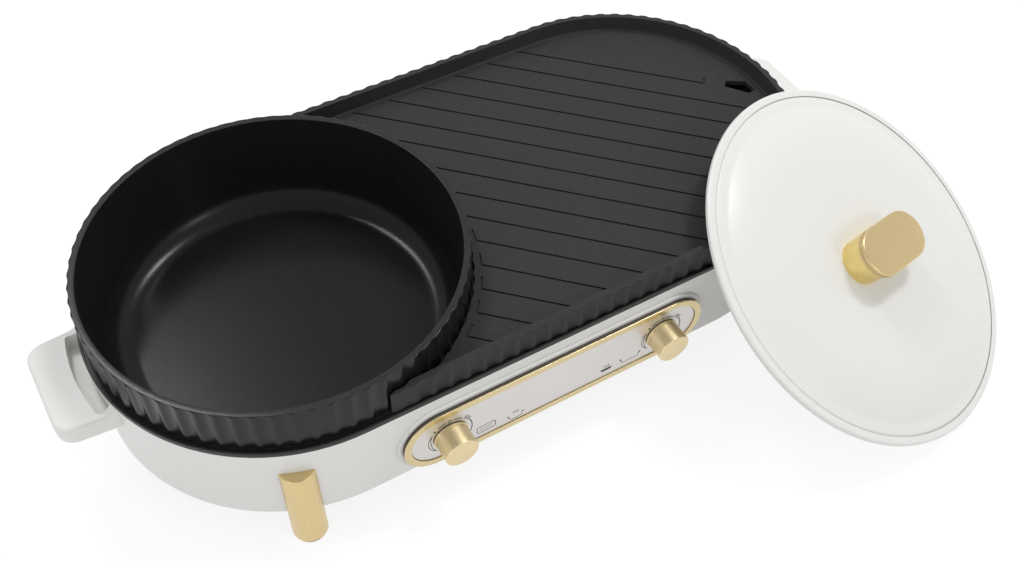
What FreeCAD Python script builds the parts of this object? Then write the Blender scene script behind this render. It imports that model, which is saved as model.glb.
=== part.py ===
"""Two-in-one electric cooker: a round hot pot and a fluted grill plate on one heated base.

Everything is modelled in appliance coordinates, in millimetres: the origin is on the table under
the middle of the base, +X runs from the pot to the grill, the control panel faces -Y and +Z is up.
The loose lid leans against the front right of the base. At the end every piece is shifted so that
the bottom centre of the whole set's bounding box is the origin.
"""
import FreeCAD, Part
import math
import os
from FreeCAD import Vector as V

X, Y, Z = V(1, 0, 0), V(0, 1, 0), V(0, 0, 1)
O = V(0, 0, 0)

# ---- base: a stadium in plan, two half circles joined by straight sides -------------------------
HALF = 140.7            # from the middle to each half circle's centre
BASE_R_TOP = 135.0      # wall radius at its top edge
BASE_R_BOTTOM = 133.5   # and at its bottom edge, so the wall has a slight draft
BASE_BOTTOM = 30.5
BASE_TOP = 101.7
WALL = 2.5
EDGE_ROUND = 2.0        # rounding of the wall's bottom edge
LEDGE_Z = 33.0          # underside of the ledge that the bottom cover is screwed to
LEDGE_T = 2.5
LEDGE_R = 120.0
COVER_GAP = 0.4

# ---- deck: black frame that closes the base and carries the pans --------------------------------
DECK_TOP = 105.5
DECK_T = 2.0
DECK_EDGE_ROUND = 0.7
DECK_SKIRT_Z = 97.0
DECK_SKIRT_T = 2.0
DECK_CHANNEL = (131.0, 133.6, 2.6)   # groove inside the deck's raised bead: from, to and depth
FIT_GAP = 0.3           # gap between pieces that drop into each other

# ---- round pot at the left ----------------------------------------------------------------------
POT_TOP = 141.0
POT_FLOOR = 64.0        # inside floor
POT_BOTTOM = 60.5
POT_R_IN = 126.6        # inside radius at the rim
POT_R_IN_LOW = 122.6    # inside radius where the floor's rounding begins
POT_FLOOR_ROUND = 21.0
POT_BODY_R = 126.4      # outside radius of the part that hangs in the well, at its top
POT_BODY_R_LOW = 125.2  # and at its bottom
POT_FLUTES = 70
POT_CREST_R = 131.7
POT_VALLEY_R = 130.3
POT_RIM_ROUND = 1.3
CREST_SHARE = 0.35      # share of a flute's pitch that the rounded crest between two flutes takes

# ---- grill plate at the right -------------------------------------------------------------------
GRILL_TOP = 125.0
GRILL_FLOOR = 113.0
GRILL_FLOOR_T = 4.0
GRILL_CREST_R = 133.0
GRILL_VALLEY_R = 131.5
GRILL_RIM_ROUND = 1.0
GRILL_R_IN = 127.7      # inside of the raised wall at its top
GRILL_R_FLOOR = 126.0   # and where it meets the floor
GRILL_SIDE_FLUTES = 23  # along each straight side
GRILL_END_FLUTES = 35   # round the end
TIP_FLUTES = 3          # next to the pot the side flutes are shallow, so that the tips stay whole
TIP_FLUTE_DEPTH = 0.35
POT_GAP_CREST_R = 132.7  # the plate's hollow side follows the pot: crests
POT_GAP_VALLEY_R = 133.7
POT_GAP_FLUTES = 70
SKIRT_T = 4.0
TIP_X = -121.5          # the raised wall ends in two thin tips beside the pot

GROOVE_ANGLE = -44.4    # degrees, seen from above
GROOVE_PITCH = 20.64
GROOVE_COUNT = 15
GROOVE_FIRST = 174.0    # distance of the first groove from the middle, square to the grooves
GROOVE_W = 1.5
GROOVE_DEPTH = 1.1
GROOVE_END_R = 123.5    # grooves stop at this stadium radius
GROOVE_POT_R = 138.2    # and at this radius round the pot
GROOVE_FIRST_END_X = 230.5
TICK_DEG = 4.4          # short hooks at the grooves' ends, along the pot's arc
DRAIN = [(242.6, 6.6), (247.6, 11.4), (260.8, 3.2), (260.8, -8.6), (255.0, -9.4)]

# ---- heaters and what holds them ----------------------------------------------------------------
WELL_R = 127.9          # spun dish under the pot
WELL_FLOOR = 49.0
SHEET_T = 0.8
POT_HEATER_R = 78.0
TUBE_R = 4.0
GRILL_BAY_R = 114.0     # opening of the deck under the grill plate
GRILL_BAY_POT_R = 150.0
GRILL_BAY_END_X = 228.0
TRAY_FLOOR = 89.0
GRILL_TUBE_R = 3.4
GRILL_HEATER_Z = 104.0

# ---- control panel on the front wall ------------------------------------------------------------
PANEL_Z = 62.0
PANEL_HALF = 92.0
BOSS_R = 30.4
BOSS_Y = -137.0
RING_Z = 62.8           # the gold trim sits a little above the boss's middle
RING_HALF = 92.8
RING_R_OUT = 26.6
RING_R_IN = 21.2
RING_Y = -140.3
RING_BACK_Y = -139.6
SEAL_INSET = 0.2        # the dark seal behind the trim is this much smaller
PLATE_Y = -139.5
PLATE_GAP = 0.35
BOSS_ROUND = 0.8
KNOB_X = 85.0
KNOB_R = 12.3
KNOB_SKIRT_R = 12.9
KNOB_SKIRT_T = 1.4
KNOB_BACK_Y = -140.1
KNOB_FACE_Y = -156.5
KNOB_EDGE = 0.9
SHAFT_R = 3.0
SHAFT_RUN = 0.06        # radial running clearance of the shaft in its bushing
BUSHING_R = 5.0
THERMOSTAT = (28.0, 10.0, 28.0)
THERMOSTAT_TAB = 8.0

# ---- legs, four half-round columns on the end walls ---------------------------------------------
LEG_R = 12.5
LEG_AXIS_R = 129.7      # leg axis from the end circle's centre, just inside the wall
LEG_DEG = 110.2         # round the left circle, the others are its mirror images
LEG_TOP = 80.6
LEG_ROUND = 1.2
PAD_T = 2.0
PAD_INSET = 1.2

# ---- end handles --------------------------------------------------------------------------------
HANDLE_TOP = 97.0
HANDLE_BOTTOM = 82.0
HANDLE_END_X = 308.2
HANDLE_HALF_W = 41.5    # at the wall
HANDLE_END_HALF_W = 38.0
HANDLE_CORNER = 13.0
HANDLE_ROUND = 2.2
HANDLE_FLARE_R = 142.5  # the top rises from this radius to the wall in a hollow curve
HANDLE_FLARE_TOP = 101.0
GRIP_R_IN = 133.0       # finger groove between the wall and this handle, from inside the wall
GRIP_R_OUT = 144.4
GRIP_DEG = 14.4
GRIP_CORNER = 2.5
GRIP_FLOOR = 85.0
HANDLE_SCREW_DEG = 15.9
HANDLE_SCREW_R = 1.2
HANDLE_SCREW_REACH = 4.6   # how far the screws go into the handle from the wall's outside

# ---- screws -------------------------------------------------------------------------------------
SCREW_HEAD_R = 3.2
SCREW_HEAD_T = 1.8
SEAT_GAP = 0.12         # lets a flat head sit against the curved wall without cutting into it

# ---- power inlet on the rear wall ---------------------------------------------------------------
INLET_X = 92.0
INLET_Z = 58.0
INLET_W, INLET_H, INLET_DEPTH = 28.0, 20.0, 17.0

# ---- lid ----------------------------------------------------------------------------------------
LID_R = 139.0
LID_CENTRE = V(243.6, -166.5, 77.5)   # centre of the rim circle as the lid leans
LID_AZIMUTH = -59.4                    # direction that the lid's axis leans to
LID_ELEVATION = 58.0                   # angle of the lid's axis above the table
LID_DOME = 10.6         # height of the middle above the rim's plane
LID_SHOULDER_R = 86.0   # nearly flat out to here, then the dome turns down
LID_SHOULDER_DROP = 1.6
LID_DOME_R = 124.0      # radius of the channel that surrounds the dome
LID_DOME_EDGE = 1.3     # height of the dome's edge
LID_STEP_R = 132.3
LID_T = 1.6
LID_LIP = 3.5
LID_SKIRT_R = 125.3
LID_SKIRT_H = 4.4
KNOB_TURN = 160.0       # direction of the lid knob's length, round the lid's axis
GRIP_HALF = 16.2        # lid knob: a stadium, half its straight length
CAP_R = 18.3
CAP_TOP, CAP_BOTTOM = 33.4, 27.4
CAP_GROOVE = (30.1, 30.7, 0.35)   # fine groove round the cap: from, to and depth
NECK_R = 16.6
LID_GROOVE_Z = 0.1      # crisp groove between the ridge and the flat rim


# ================================ helpers ========================================================
def prism(wire, z0, z1):
    """Solid between two heights from a closed wire drawn at height 0."""
    solid = Part.Face(wire).extrude(V(0, 0, z1 - z0))
    solid.translate(V(0, 0, z0))
    return solid


def stadium_wire(half, r, z=0.0):
    """Closed stadium outline: two lines and two half circles."""
    front = Part.LineSegment(V(-half, -r, z), V(half, -r, z)).toShape()
    right = Part.Arc(V(half, -r, z), V(half + r, 0, z), V(half, r, z)).toShape()
    back = Part.LineSegment(V(half, r, z), V(-half, r, z)).toShape()
    left = Part.Arc(V(-half, r, z), V(-half - r, 0, z), V(-half, -r, z)).toShape()
    return Part.Wire([front, right, back, left])


def stadium(half, r, z0, z1):
    return prism(stadium_wire(half, r), z0, z1)


def drafted_stadium(half, r0, z0, r1, z1):
    """Stadium whose wall leans: radius r0 at z0 and r1 at z1."""
    return Part.makeLoft([stadium_wire(half, r0, z0), stadium_wire(half, r1, z1)], True, True)


def cyl(r, z0, z1, x=0.0, y=0.0):
    return Part.makeCylinder(r, z1 - z0, V(x, y, z0), Z)


def box(x0, x1, y0, y1, z0, z1):
    return Part.makeBox(x1 - x0, y1 - y0, z1 - z0, V(x0, y0, z0))


def polar(r, degrees, z=0.0, cx=0.0):
    a = math.radians(degrees)
    return V(cx + r * math.cos(a), r * math.sin(a), z)


def rounded_wire(corners, place):
    """Closed wire through corners (u, v, radius), each corner rounded by a tangent arc."""
    n = len(corners)
    ends = []
    for i in range(n):
        u, v, r = corners[i]
        p = V(u, v, 0)
        back = (V(*corners[i - 1][:2], 0) - p).normalize()
        ahead = (V(*corners[(i + 1) % n][:2], 0) - p).normalize()
        if r <= 0:
            ends.append((p, None, p))
            continue
        half_angle = back.getAngle(ahead) / 2
        reach = r / math.tan(half_angle)
        middle = (back + ahead).normalize() * (r / math.sin(half_angle) - r)
        ends.append((p + back * reach, p + middle, p + ahead * reach))
    edges = []
    for i in range(n):
        start, middle, stop = ends[i]
        if middle is not None:
            edges.append(Part.Arc(place(start), place(middle), place(stop)).toShape())
        following = ends[(i + 1) % n][0]
        if (following - stop).Length > 1e-6:
            edges.append(Part.LineSegment(place(stop), place(following)).toShape())
    return Part.Wire(edges)


def in_plan(p):
    return V(p.x, p.y, 0)


def in_section(p):
    return V(p.x, 0, p.y)


def turned(corners, cx=0.0):
    """Solid of revolution about the vertical axis at x = cx, from (radius, height, round) corners."""
    face = Part.Face(rounded_wire(corners, in_section))
    solid = face.revolve(O, Z, 360)
    solid.translate(V(cx, 0, 0))
    return solid


def front_stadium(half, r, y0, y1, z=PANEL_Z):
    """Stadium drawn on the front of the panel round height z and pushed from y0 to y1."""
    solid = stadium(half, r, 0, y1 - y0)
    solid.rotate(O, X, -90)
    solid.translate(V(0, y0, z))
    return solid


def arc(p, middle, q):
    return Part.Arc(p, middle, q).toShape()


def ring_crests(cx, r, start, stop, count, side):
    """Crest points round the circle about (cx, 0), each with the direction in which flutes dip."""
    step = (stop - start) / count
    angles = [start + i * step for i in range(count + 1)]
    return [(polar(r, a, 0, cx), polar(side, a)) for a in angles]


def line_crests(p, q, count, dip):
    return [(p + (q - p) * (i / count), dip) for i in range(count + 1)]


def flutes(crests, depths):
    """Hollow arcs between crest points, joined by rounded crests that they run into smoothly."""
    edges = []
    half = CREST_SHARE / 2
    for i, depth in enumerate(depths):
        (p, dip_p), (q, dip_q) = crests[i], crests[i + 1]
        dip = (dip_p + dip_q).normalize()
        low = dip * (depth * CREST_SHARE)
        start, stop = p + (q - p) * half + low, q - (q - p) * half + low
        if edges:
            edges.append(arc(last, p, start))
        else:
            first = start
        edges.append(arc(start, (p + q) * 0.5 + dip * depth, stop))
        last = stop
    if (crests[0][0] - crests[-1][0]).Length < 1e-6:
        edges.append(arc(last, crests[0][0], first))
    else:
        edges.insert(0, Part.LineSegment(crests[0][0], first).toShape())
        edges.append(Part.LineSegment(last, crests[-1][0]).toShape())
    return edges


def chord_depth(r_crest, r_valley, step_degrees):
    """How far a flute dips below the chord between its two crests."""
    return r_crest * math.cos(math.radians(step_degrees / 2)) - r_valley


def tube(points, radius, bend):
    """Round bar along straight runs joined by tangent arcs."""
    edges = []
    start = points[0]
    for i in range(1, len(points) - 1):
        back = (points[i - 1] - points[i]).normalize()
        ahead = (points[i + 1] - points[i]).normalize()
        half_angle = back.getAngle(ahead) / 2
        reach = bend / math.tan(half_angle)
        middle = (back + ahead).normalize() * (bend / math.sin(half_angle) - bend)
        p, q = points[i] + back * reach, points[i] + ahead * reach
        edges.append(Part.LineSegment(start, p).toShape())
        edges.append(Part.Arc(p, points[i] + middle, q).toShape())
        start = q
    edges.append(Part.LineSegment(start, points[-1]).toShape())
    path = Part.Wire(edges)
    ring = Part.Wire([Part.makeCircle(radius, points[0], points[1] - points[0])])
    return Part.Wire(path).makePipeShell([ring], True, False)


def fuse(shapes):
    return shapes[0].multiFuse(shapes[1:]).removeSplitter()


def screw(head_at, inward, head_r, head_t, shank_r, length):
    """Pan-head screw: head_at is under the head, and inward is where the shank points."""
    head = Part.makeCylinder(head_r, head_t, head_at, inward * -1)
    shank = Part.makeCylinder(shank_r, length, head_at, inward)
    return head.fuse(shank)


# ================================ base ===========================================================
def wall_r(z):
    """Radius of the wall's outside at height z."""
    t = (z - BASE_BOTTOM) / (BASE_TOP - BASE_BOTTOM)
    return BASE_R_BOTTOM + t * (BASE_R_TOP - BASE_R_BOTTOM)


def base_outside(z0=BASE_BOTTOM, z1=BASE_TOP, grow=0.0):
    return drafted_stadium(HALF, wall_r(z0) + grow, z0, wall_r(z1) + grow, z1)


def base_inside(z0, z1):
    return base_outside(z0, z1, -WALL)


COVER_SCREWS = [V(x, y, 0) for x in (-HALF, 0, HALF) for y in (-125.0, 125.0)]
COVER_SCREWS += [V(-HALF - 125.0, 0, 0), V(HALF + 125.0, 0, 0)]


def leg_places():
    """(name, end circle's centre, angle round it) of each leg."""
    return [("leg_front_left", -HALF, -LEG_DEG), ("leg_rear_left", -HALF, LEG_DEG),
            ("leg_front_right", HALF, LEG_DEG - 180.0), ("leg_rear_right", HALF, 180.0 - LEG_DEG)]


LEG_SCREW_Z = (48.0, 68.0)
HANDLE_MID = (HANDLE_TOP + HANDLE_BOTTOM) / 2


def radial_holes(radius, depth_in, depth_out):
    """Drill tools through the wall for the leg screws and the handle screws."""
    tools = []
    for name, cx, angle in leg_places():
        for z in LEG_SCREW_Z:
            out = polar(1, angle)
            tools.append(Part.makeCylinder(radius, depth_in + depth_out,
                                           polar(wall_r(z) - depth_in, angle, z, cx), out))
    for cx, middle in ((-HALF, 180.0), (HALF, 0.0)):
        for side in (-1, 1):
            angle = middle + side * HANDLE_SCREW_DEG
            tools.append(Part.makeCylinder(radius, depth_in + depth_out,
                                           polar(wall_r(HANDLE_MID) - depth_in, angle, HANDLE_MID, cx),
                                           polar(1, angle)))
    return tools


def make_base_shell():
    outside = base_outside()
    bottom_edges = [e for e in outside.Edges if abs(e.BoundBox.ZMax - BASE_BOTTOM) < 1e-3]
    outside = outside.makeFillet(EDGE_ROUND, bottom_edges)
    boss = front_stadium(PANEL_HALF, BOSS_R, BOSS_Y, -131.0)
    boss = boss.makeFillet(BOSS_ROUND, [e for e in boss.Edges if e.BoundBox.YMax < BOSS_Y + 0.01])
    outside = outside.fuse(boss)
    hollow = base_inside(LEDGE_Z + LEDGE_T, BASE_TOP)
    mouth = base_inside(BASE_BOTTOM, LEDGE_Z)
    opening = stadium(HALF, LEDGE_R, BASE_BOTTOM, BASE_TOP)
    shell = outside.cut(hollow.multiFuse([mouth, opening]))
    tools = radial_holes(2.1, 6, 1)
    for side in (-1, 1):
        tools.append(Part.makeCylinder(BUSHING_R + FIT_GAP, 20, V(side * KNOB_X, BOSS_Y - 5, PANEL_Z), Y))
    half_w, half_h = INLET_W / 2 + 2.3, INLET_H / 2 + 2.3
    tools.append(box(INLET_X - half_w, INLET_X + half_w, 125, 140, INLET_Z - half_h, INLET_Z + half_h))
    for p in COVER_SCREWS:
        tools.append(cyl(1.5, LEDGE_Z - 1, LEDGE_Z + LEDGE_T + 1, p.x, p.y))
    return shell.cut(Part.makeCompound(tools)).removeSplitter()


def make_bottom_cover():
    cover = stadium(HALF, wall_r(BASE_BOTTOM) - WALL - COVER_GAP, LEDGE_Z - 2.0, LEDGE_Z)
    tools = [cyl(1.8, LEDGE_Z - 3, LEDGE_Z + 1, p.x, p.y) for p in COVER_SCREWS]
    for bay in (-HALF, HALF):
        for i in range(-4, 5):
            length = 70 if abs(i) < 3 else 46
            slot = stadium((length - 3.4) / 2, 1.7, LEDGE_Z - 3, LEDGE_Z + 1)
            slot.translate(V(bay, i * 13.0, 0))
            tools.append(slot)
    return cover.cut(Part.makeCompound(tools))


def make_cover_screws():
    return [screw(V(p.x, p.y, LEDGE_Z - 2.0), Z, SCREW_HEAD_R, 1.7, 1.5, 7.0) for p in COVER_SCREWS]


def make_handle(side):
    """End handle with a finger groove; side is -1 at the pot's end and 1 at the grill's."""
    wall_x = HALF + 100.0
    corners = [(wall_x, -HANDLE_HALF_W - 1.5, 0), (HANDLE_END_X, -HANDLE_END_HALF_W, HANDLE_CORNER),
               (HANDLE_END_X, HANDLE_END_HALF_W, HANDLE_CORNER), (wall_x, HANDLE_HALF_W + 1.5, 0)]
    block = prism(rounded_wire(corners, in_plan), HANDLE_BOTTOM, BASE_TOP)
    block = block.cut(above_handle())
    rim = [e for e in block.Edges if e.BoundBox.ZLength < 1e-3 and e.BoundBox.XMax > wall_x + 1
           and min(abs(e.BoundBox.ZMin - z) for z in (HANDLE_BOTTOM, HANDLE_TOP)) < 1e-3]
    rim = [e for e in rim if e.BoundBox.XMin > wall_x + 1 or e.BoundBox.YLength < 10]
    block = block.makeFillet(HANDLE_ROUND, rim)
    block = block.cut(base_outside())
    block = block.cut(finger_groove())
    if side < 0:
        block.rotate(O, Z, 180)
    return block.cut(Part.makeCompound(radial_holes(HANDLE_SCREW_R, 4, HANDLE_SCREW_REACH + 0.3)))


def above_handle():
    """What lies over the right handle: flat outside, and a hollow curve up to the wall inside."""
    reach = HANDLE_FLARE_R - wall_r(HANDLE_FLARE_TOP)
    rise = HANDLE_FLARE_TOP - HANDLE_TOP
    hollow = (reach ** 2 + rise ** 2) / (2 * rise)
    slope = math.atan2(rise, reach)
    inner_r = HANDLE_FLARE_R - reach
    middle = V(HANDLE_FLARE_R - hollow * math.sin(slope), 0, HANDLE_TOP + hollow * (1 - math.cos(slope)))
    curve = Part.Arc(V(HANDLE_FLARE_R, 0, HANDLE_TOP), middle, V(inner_r, 0, HANDLE_FLARE_TOP)).toShape()
    points = [V(inner_r, 0, HANDLE_FLARE_TOP), V(80, 0, HANDLE_FLARE_TOP), V(80, 0, BASE_TOP + 1),
              V(200, 0, BASE_TOP + 1), V(200, 0, HANDLE_TOP), V(HANDLE_FLARE_R, 0, HANDLE_TOP)]
    lines = [Part.LineSegment(p, q).toShape() for p, q in zip(points, points[1:])]
    solid = Part.Face(Part.Wire([curve] + lines)).revolve(O, Z, 360)
    solid.translate(V(HALF, 0, 0))
    return solid


def finger_groove():
    """Curved groove between the wall and the handle, about the right end circle."""
    top = BASE_TOP + 1
    ring = cyl(GRIP_R_OUT, GRIP_FLOOR, top, HALF).cut(cyl(GRIP_R_IN, GRIP_FLOOR, top, HALF))
    reach = 200
    far = reach * math.tan(math.radians(GRIP_DEG))
    corners = [V(HALF, 0, 0), V(HALF + reach, -far, 0), V(HALF + reach, far, 0), V(HALF, 0, 0)]
    sector = ring.common(prism(Part.makePolygon(corners), GRIP_FLOOR, top))
    outer_x = HALF + GRIP_R_OUT * math.cos(math.radians(GRIP_DEG))
    uprights = [e for e in sector.Edges if e.BoundBox.ZLength > 1 and e.BoundBox.XLength < 0.01
                and e.BoundBox.XMin > outer_x - 0.1]
    return sector.makeFillet(GRIP_CORNER, uprights)


def make_handle_screws():
    screws = []
    for cx, middle in ((-HALF, 180.0), (HALF, 0.0)):
        for s in (-1, 1):
            angle = middle + s * HANDLE_SCREW_DEG
            seat = polar(wall_r(HANDLE_MID) - WALL - SEAT_GAP, angle, HANDLE_MID, cx)
            length = WALL + SEAT_GAP + HANDLE_SCREW_REACH
            screws.append(screw(seat, polar(1, angle), SCREW_HEAD_R, SCREW_HEAD_T, HANDLE_SCREW_R, length))
    return screws


def make_deck():
    band = stadium(HALF, BASE_R_TOP, BASE_TOP, DECK_TOP)
    top_edges = [e for e in band.Edges if abs(e.BoundBox.ZMin - DECK_TOP) < 1e-3]
    band = band.makeFillet(DECK_EDGE_ROUND, top_edges)
    skirt_r = BASE_R_TOP - WALL - FIT_GAP
    skirt = stadium(HALF, skirt_r, DECK_SKIRT_Z, DECK_TOP - DECK_T)
    under = stadium(HALF, skirt_r - DECK_SKIRT_T, DECK_SKIRT_Z, DECK_TOP - DECK_T)
    deck = band.fuse(skirt).cut(under)
    channel_in, channel_out, depth = DECK_CHANNEL
    channel = stadium(HALF, channel_out, DECK_TOP - depth, DECK_TOP + 1)
    deck = deck.cut(channel.cut(stadium(HALF, channel_in, DECK_TOP - depth, DECK_TOP + 1)))
    deck = deck.cut(cyl(WELL_R + 0.6, 90, 110, -HALF))
    deck = deck.cut(grill_bay(0, 90, 110))
    return deck.cut(box(*DRIP_CUP_BOX[:4], 90, 110)).removeSplitter()


DRIP_CUP_BOX = (238.0, 264.0, -14.0, 16.0, 84.0, DECK_TOP)


def grill_bay(grow, z0, z1):
    """Space under the grill plate, bounded by the base's outline, the pot's well and the drip cup."""
    bay = stadium(HALF, GRILL_BAY_R + grow, z0, z1).cut(cyl(GRILL_BAY_POT_R - grow, z0, z1, -HALF))
    return bay.common(box(-100, GRILL_BAY_END_X + grow, -150, 150, z0, z1))


def make_drip_cup():
    x0, x1, y0, y1, z0, z1 = DRIP_CUP_BOX
    g = FIT_GAP
    lip = box(x0 - 2.5, x1 + 2.0, y0 - 2.5, y1 + 2.5, z1, z1 + 0.8)
    cup = box(x0 + g, x1 - g, y0 + g, y1 - g, z0, z1)
    cup = cup.makeFillet(3.0, [e for e in cup.Edges if e.BoundBox.ZMax < z0 + 0.01 or e.BoundBox.ZLength > 5])
    inside = box(x0 + 1.5, x1 - 1.5, y0 + 1.5, y1 - 1.5, z0 + 1.2, z1 + 2)
    inside = inside.makeFillet(2.0, [e for e in inside.Edges if e.BoundBox.ZMax < z0 + 1.3
                                     or e.BoundBox.ZLength > 5])
    return cup.fuse(lip).cut(inside).removeSplitter()


# ================================ pans ===========================================================
def make_pot():
    depth = chord_depth(POT_CREST_R, POT_VALLEY_R, 360.0 / POT_FLUTES)
    crests = ring_crests(-HALF, POT_CREST_R, 0, 360, POT_FLUTES, -1)
    band = prism(Part.Wire(flutes(crests, [depth] * POT_FLUTES)), DECK_TOP, POT_TOP)
    limit = POT_CREST_R + 0.2
    soft_rim = turned([(0, DECK_TOP, 0), (limit - 0.8, DECK_TOP, 0), (limit, DECK_TOP + 0.8, 0),
                       (limit, POT_TOP, POT_RIM_ROUND), (0, POT_TOP, 0)], -HALF)
    band = band.common(soft_rim)
    body = turned([(0, POT_BOTTOM, 0), (POT_BODY_R_LOW, POT_BOTTOM, 17), (POT_BODY_R, DECK_TOP + 2, 0),
                   (0, DECK_TOP + 2, 0)], -HALF)
    inside = turned([(0, POT_FLOOR, 0), (POT_R_IN_LOW - 1.0, POT_FLOOR, POT_FLOOR_ROUND),
                     (POT_R_IN, POT_TOP + 0.001, 0), (0, POT_TOP + 0.001, 0)], -HALF)
    return band.fuse(body).cut(inside).removeSplitter()


def grill_outline():
    """Outside of the plate: fluted all round, with a straight side that the pot's hollow cuts off."""
    r = GRILL_CREST_R
    side_depth = r - GRILL_VALLEY_R
    end_depth = chord_depth(r, GRILL_VALLEY_R, 180.0 / GRILL_END_FLUTES)
    front = line_crests(V(-HALF, -r, 0), V(HALF, -r, 0), GRILL_SIDE_FLUTES, Y)
    end = ring_crests(HALF, r, -90, 90, GRILL_END_FLUTES, -1)
    back = line_crests(V(HALF, r, 0), V(-HALF, r, 0), GRILL_SIDE_FLUTES, Y * -1)
    side_depths = [TIP_FLUTE_DEPTH] * TIP_FLUTES + [side_depth] * (GRILL_SIDE_FLUTES - TIP_FLUTES)
    depths = side_depths + [end_depth] * GRILL_END_FLUTES + side_depths[::-1]
    edges = flutes(front[:-1] + end + back[1:], depths)
    edges.append(Part.LineSegment(back[-1][0], front[0][0]).toShape())
    return Part.Wire(edges)


def pot_side(crest_r, valley_r, z0, z1):
    """Fluted round tool that hollows the plate beside the pot."""
    step = 360.0 / POT_GAP_FLUTES
    bulge = valley_r - crest_r * math.cos(math.radians(step / 2))
    crests = ring_crests(-HALF, crest_r, step / 2, 360 + step / 2, POT_GAP_FLUTES, 1)
    return prism(Part.Wire(flutes(crests, [bulge] * POT_GAP_FLUTES)), z0, z1)


def grooves():
    """Diagonal grooves, cut to the floor's outline, with short hooks at the ends beside the pot."""
    z0, z1 = GRILL_FLOOR - GROOVE_DEPTH, GRILL_FLOOR + 1
    floor = stadium(HALF, GROOVE_END_R, z0, z1).cut(cyl(GROOVE_POT_R, z0, z1, -HALF))
    along = polar(1, GROOVE_ANGLE)
    across = polar(1, GROOVE_ANGLE + 90)
    bars, hooks = [], []
    for i in range(GROOVE_COUNT):
        offset = GROOVE_FIRST - i * GROOVE_PITCH
        bar = box(-300, 300, -GROOVE_W / 2, GROOVE_W / 2, z0, z1)
        bar.rotate(O, Z, GROOVE_ANGLE)
        bar.translate(across * offset)
        if i == 0:
            bar = bar.common(box(-300, GROOVE_FIRST_END_X, -300, 300, z0, z1))
        bars.append(bar.common(floor))
        centre_offset = offset - (V(-HALF, 0, 0)).dot(across)
        if abs(centre_offset) < GROOVE_POT_R - 8:
            reach = math.sqrt(GROOVE_POT_R ** 2 - centre_offset ** 2)
            end = V(-HALF, 0, 0) + across * centre_offset + along * reach
            angle = math.degrees(math.atan2(end.y, end.x + HALF))
            hooks.append(hook(angle, z0, z1))
    first_end = across * GROOVE_FIRST + along * ((GROOVE_FIRST_END_X - across.x * GROOVE_FIRST) / along.x)
    tick = box(-GROOVE_W / 2, GROOVE_W / 2, 0, 7, z0, z1)
    tick.rotate(O, Z, -38)
    tick.translate(V(first_end.x, first_end.y, 0))
    return Part.makeCompound(bars + hooks + [tick])


def hook(angle, z0, z1):
    """Short arc at the pot's side that turns up from a groove's end."""
    r0, r1 = GROOVE_POT_R - GROOVE_W / 2, GROOVE_POT_R + GROOVE_W / 2
    ring = cyl(r1, z0, z1, -HALF).cut(cyl(r0, z0, z1, -HALF))
    c = V(-HALF, 0, 0)
    p, q = polar(200, angle, 0, -HALF), polar(200, angle + TICK_DEG, 0, -HALF)
    return ring.common(prism(Part.makePolygon([c, p, q, c]), z0, z1))


def make_grill_plate():
    outside = prism(grill_outline(), DECK_TOP, GRILL_TOP)
    soft_rim = stadium(HALF, GRILL_CREST_R + 0.2, DECK_TOP, GRILL_TOP)
    top_edges = [e for e in soft_rim.Edges if e.BoundBox.ZMin > GRILL_TOP - 0.01]
    soft_rim = soft_rim.makeFillet(GRILL_RIM_ROUND, top_edges)
    outside = outside.common(soft_rim.common(box(TIP_X, 400, -200, 200, DECK_TOP, GRILL_TOP)))
    outside = outside.cut(pot_side(POT_GAP_CREST_R, POT_GAP_VALLEY_R, DECK_TOP - 1, GRILL_TOP + 1))
    recess = drafted_stadium(HALF, GRILL_R_FLOOR, GRILL_FLOOR, GRILL_R_IN, GRILL_TOP + 0.001)
    recess = recess.makeFillet(1.5, [e for e in recess.Edges if e.BoundBox.ZMax < GRILL_FLOOR + 0.01])
    under_z = GRILL_FLOOR - GRILL_FLOOR_T
    under = stadium(HALF, GRILL_VALLEY_R - SKIRT_T, DECK_TOP, under_z)
    under = under.cut(cyl(POT_GAP_VALLEY_R + SKIRT_T, DECK_TOP, under_z, -HALF))
    drain = Part.makePolygon([V(x, y, 0) for x, y in DRAIN + DRAIN[:1]])
    plate = outside.cut(recess).cut(under)
    plate = plate.cut(prism(drain, DECK_TOP, GRILL_TOP))
    plate = plate.cut(grooves())
    return plate.removeSplitter()


# ================================ heating ========================================================
def make_pot_reflector():
    r = WELL_R
    t = SHEET_T
    lip = DECK_TOP - DECK_T
    return turned([(12, WELL_FLOOR, 0), (r - 1.0, WELL_FLOOR, 6.0), (r, lip - t, 0), (r + 2.0, lip - t, 0),
                   (r + 2.0, lip, 0), (r - t, lip, 0), (r - 1.0 - t, WELL_FLOOR + t, 5.2),
                   (12, WELL_FLOOR + t, 0)], -HALF)


def make_grill_reflector():
    lip = DECK_TOP - DECK_T
    tray = grill_bay(SHEET_T, TRAY_FLOOR, lip).fuse(grill_bay(4.0, lip - SHEET_T, lip))
    return tray.cut(grill_bay(0, TRAY_FLOOR + SHEET_T, lip + 1)).removeSplitter()


POT_HEATER_Z = POT_BOTTOM - 0.4 - TUBE_R
HEATER_GAP_DEG = 22.0
HEATER_BEND = 6.5


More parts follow.
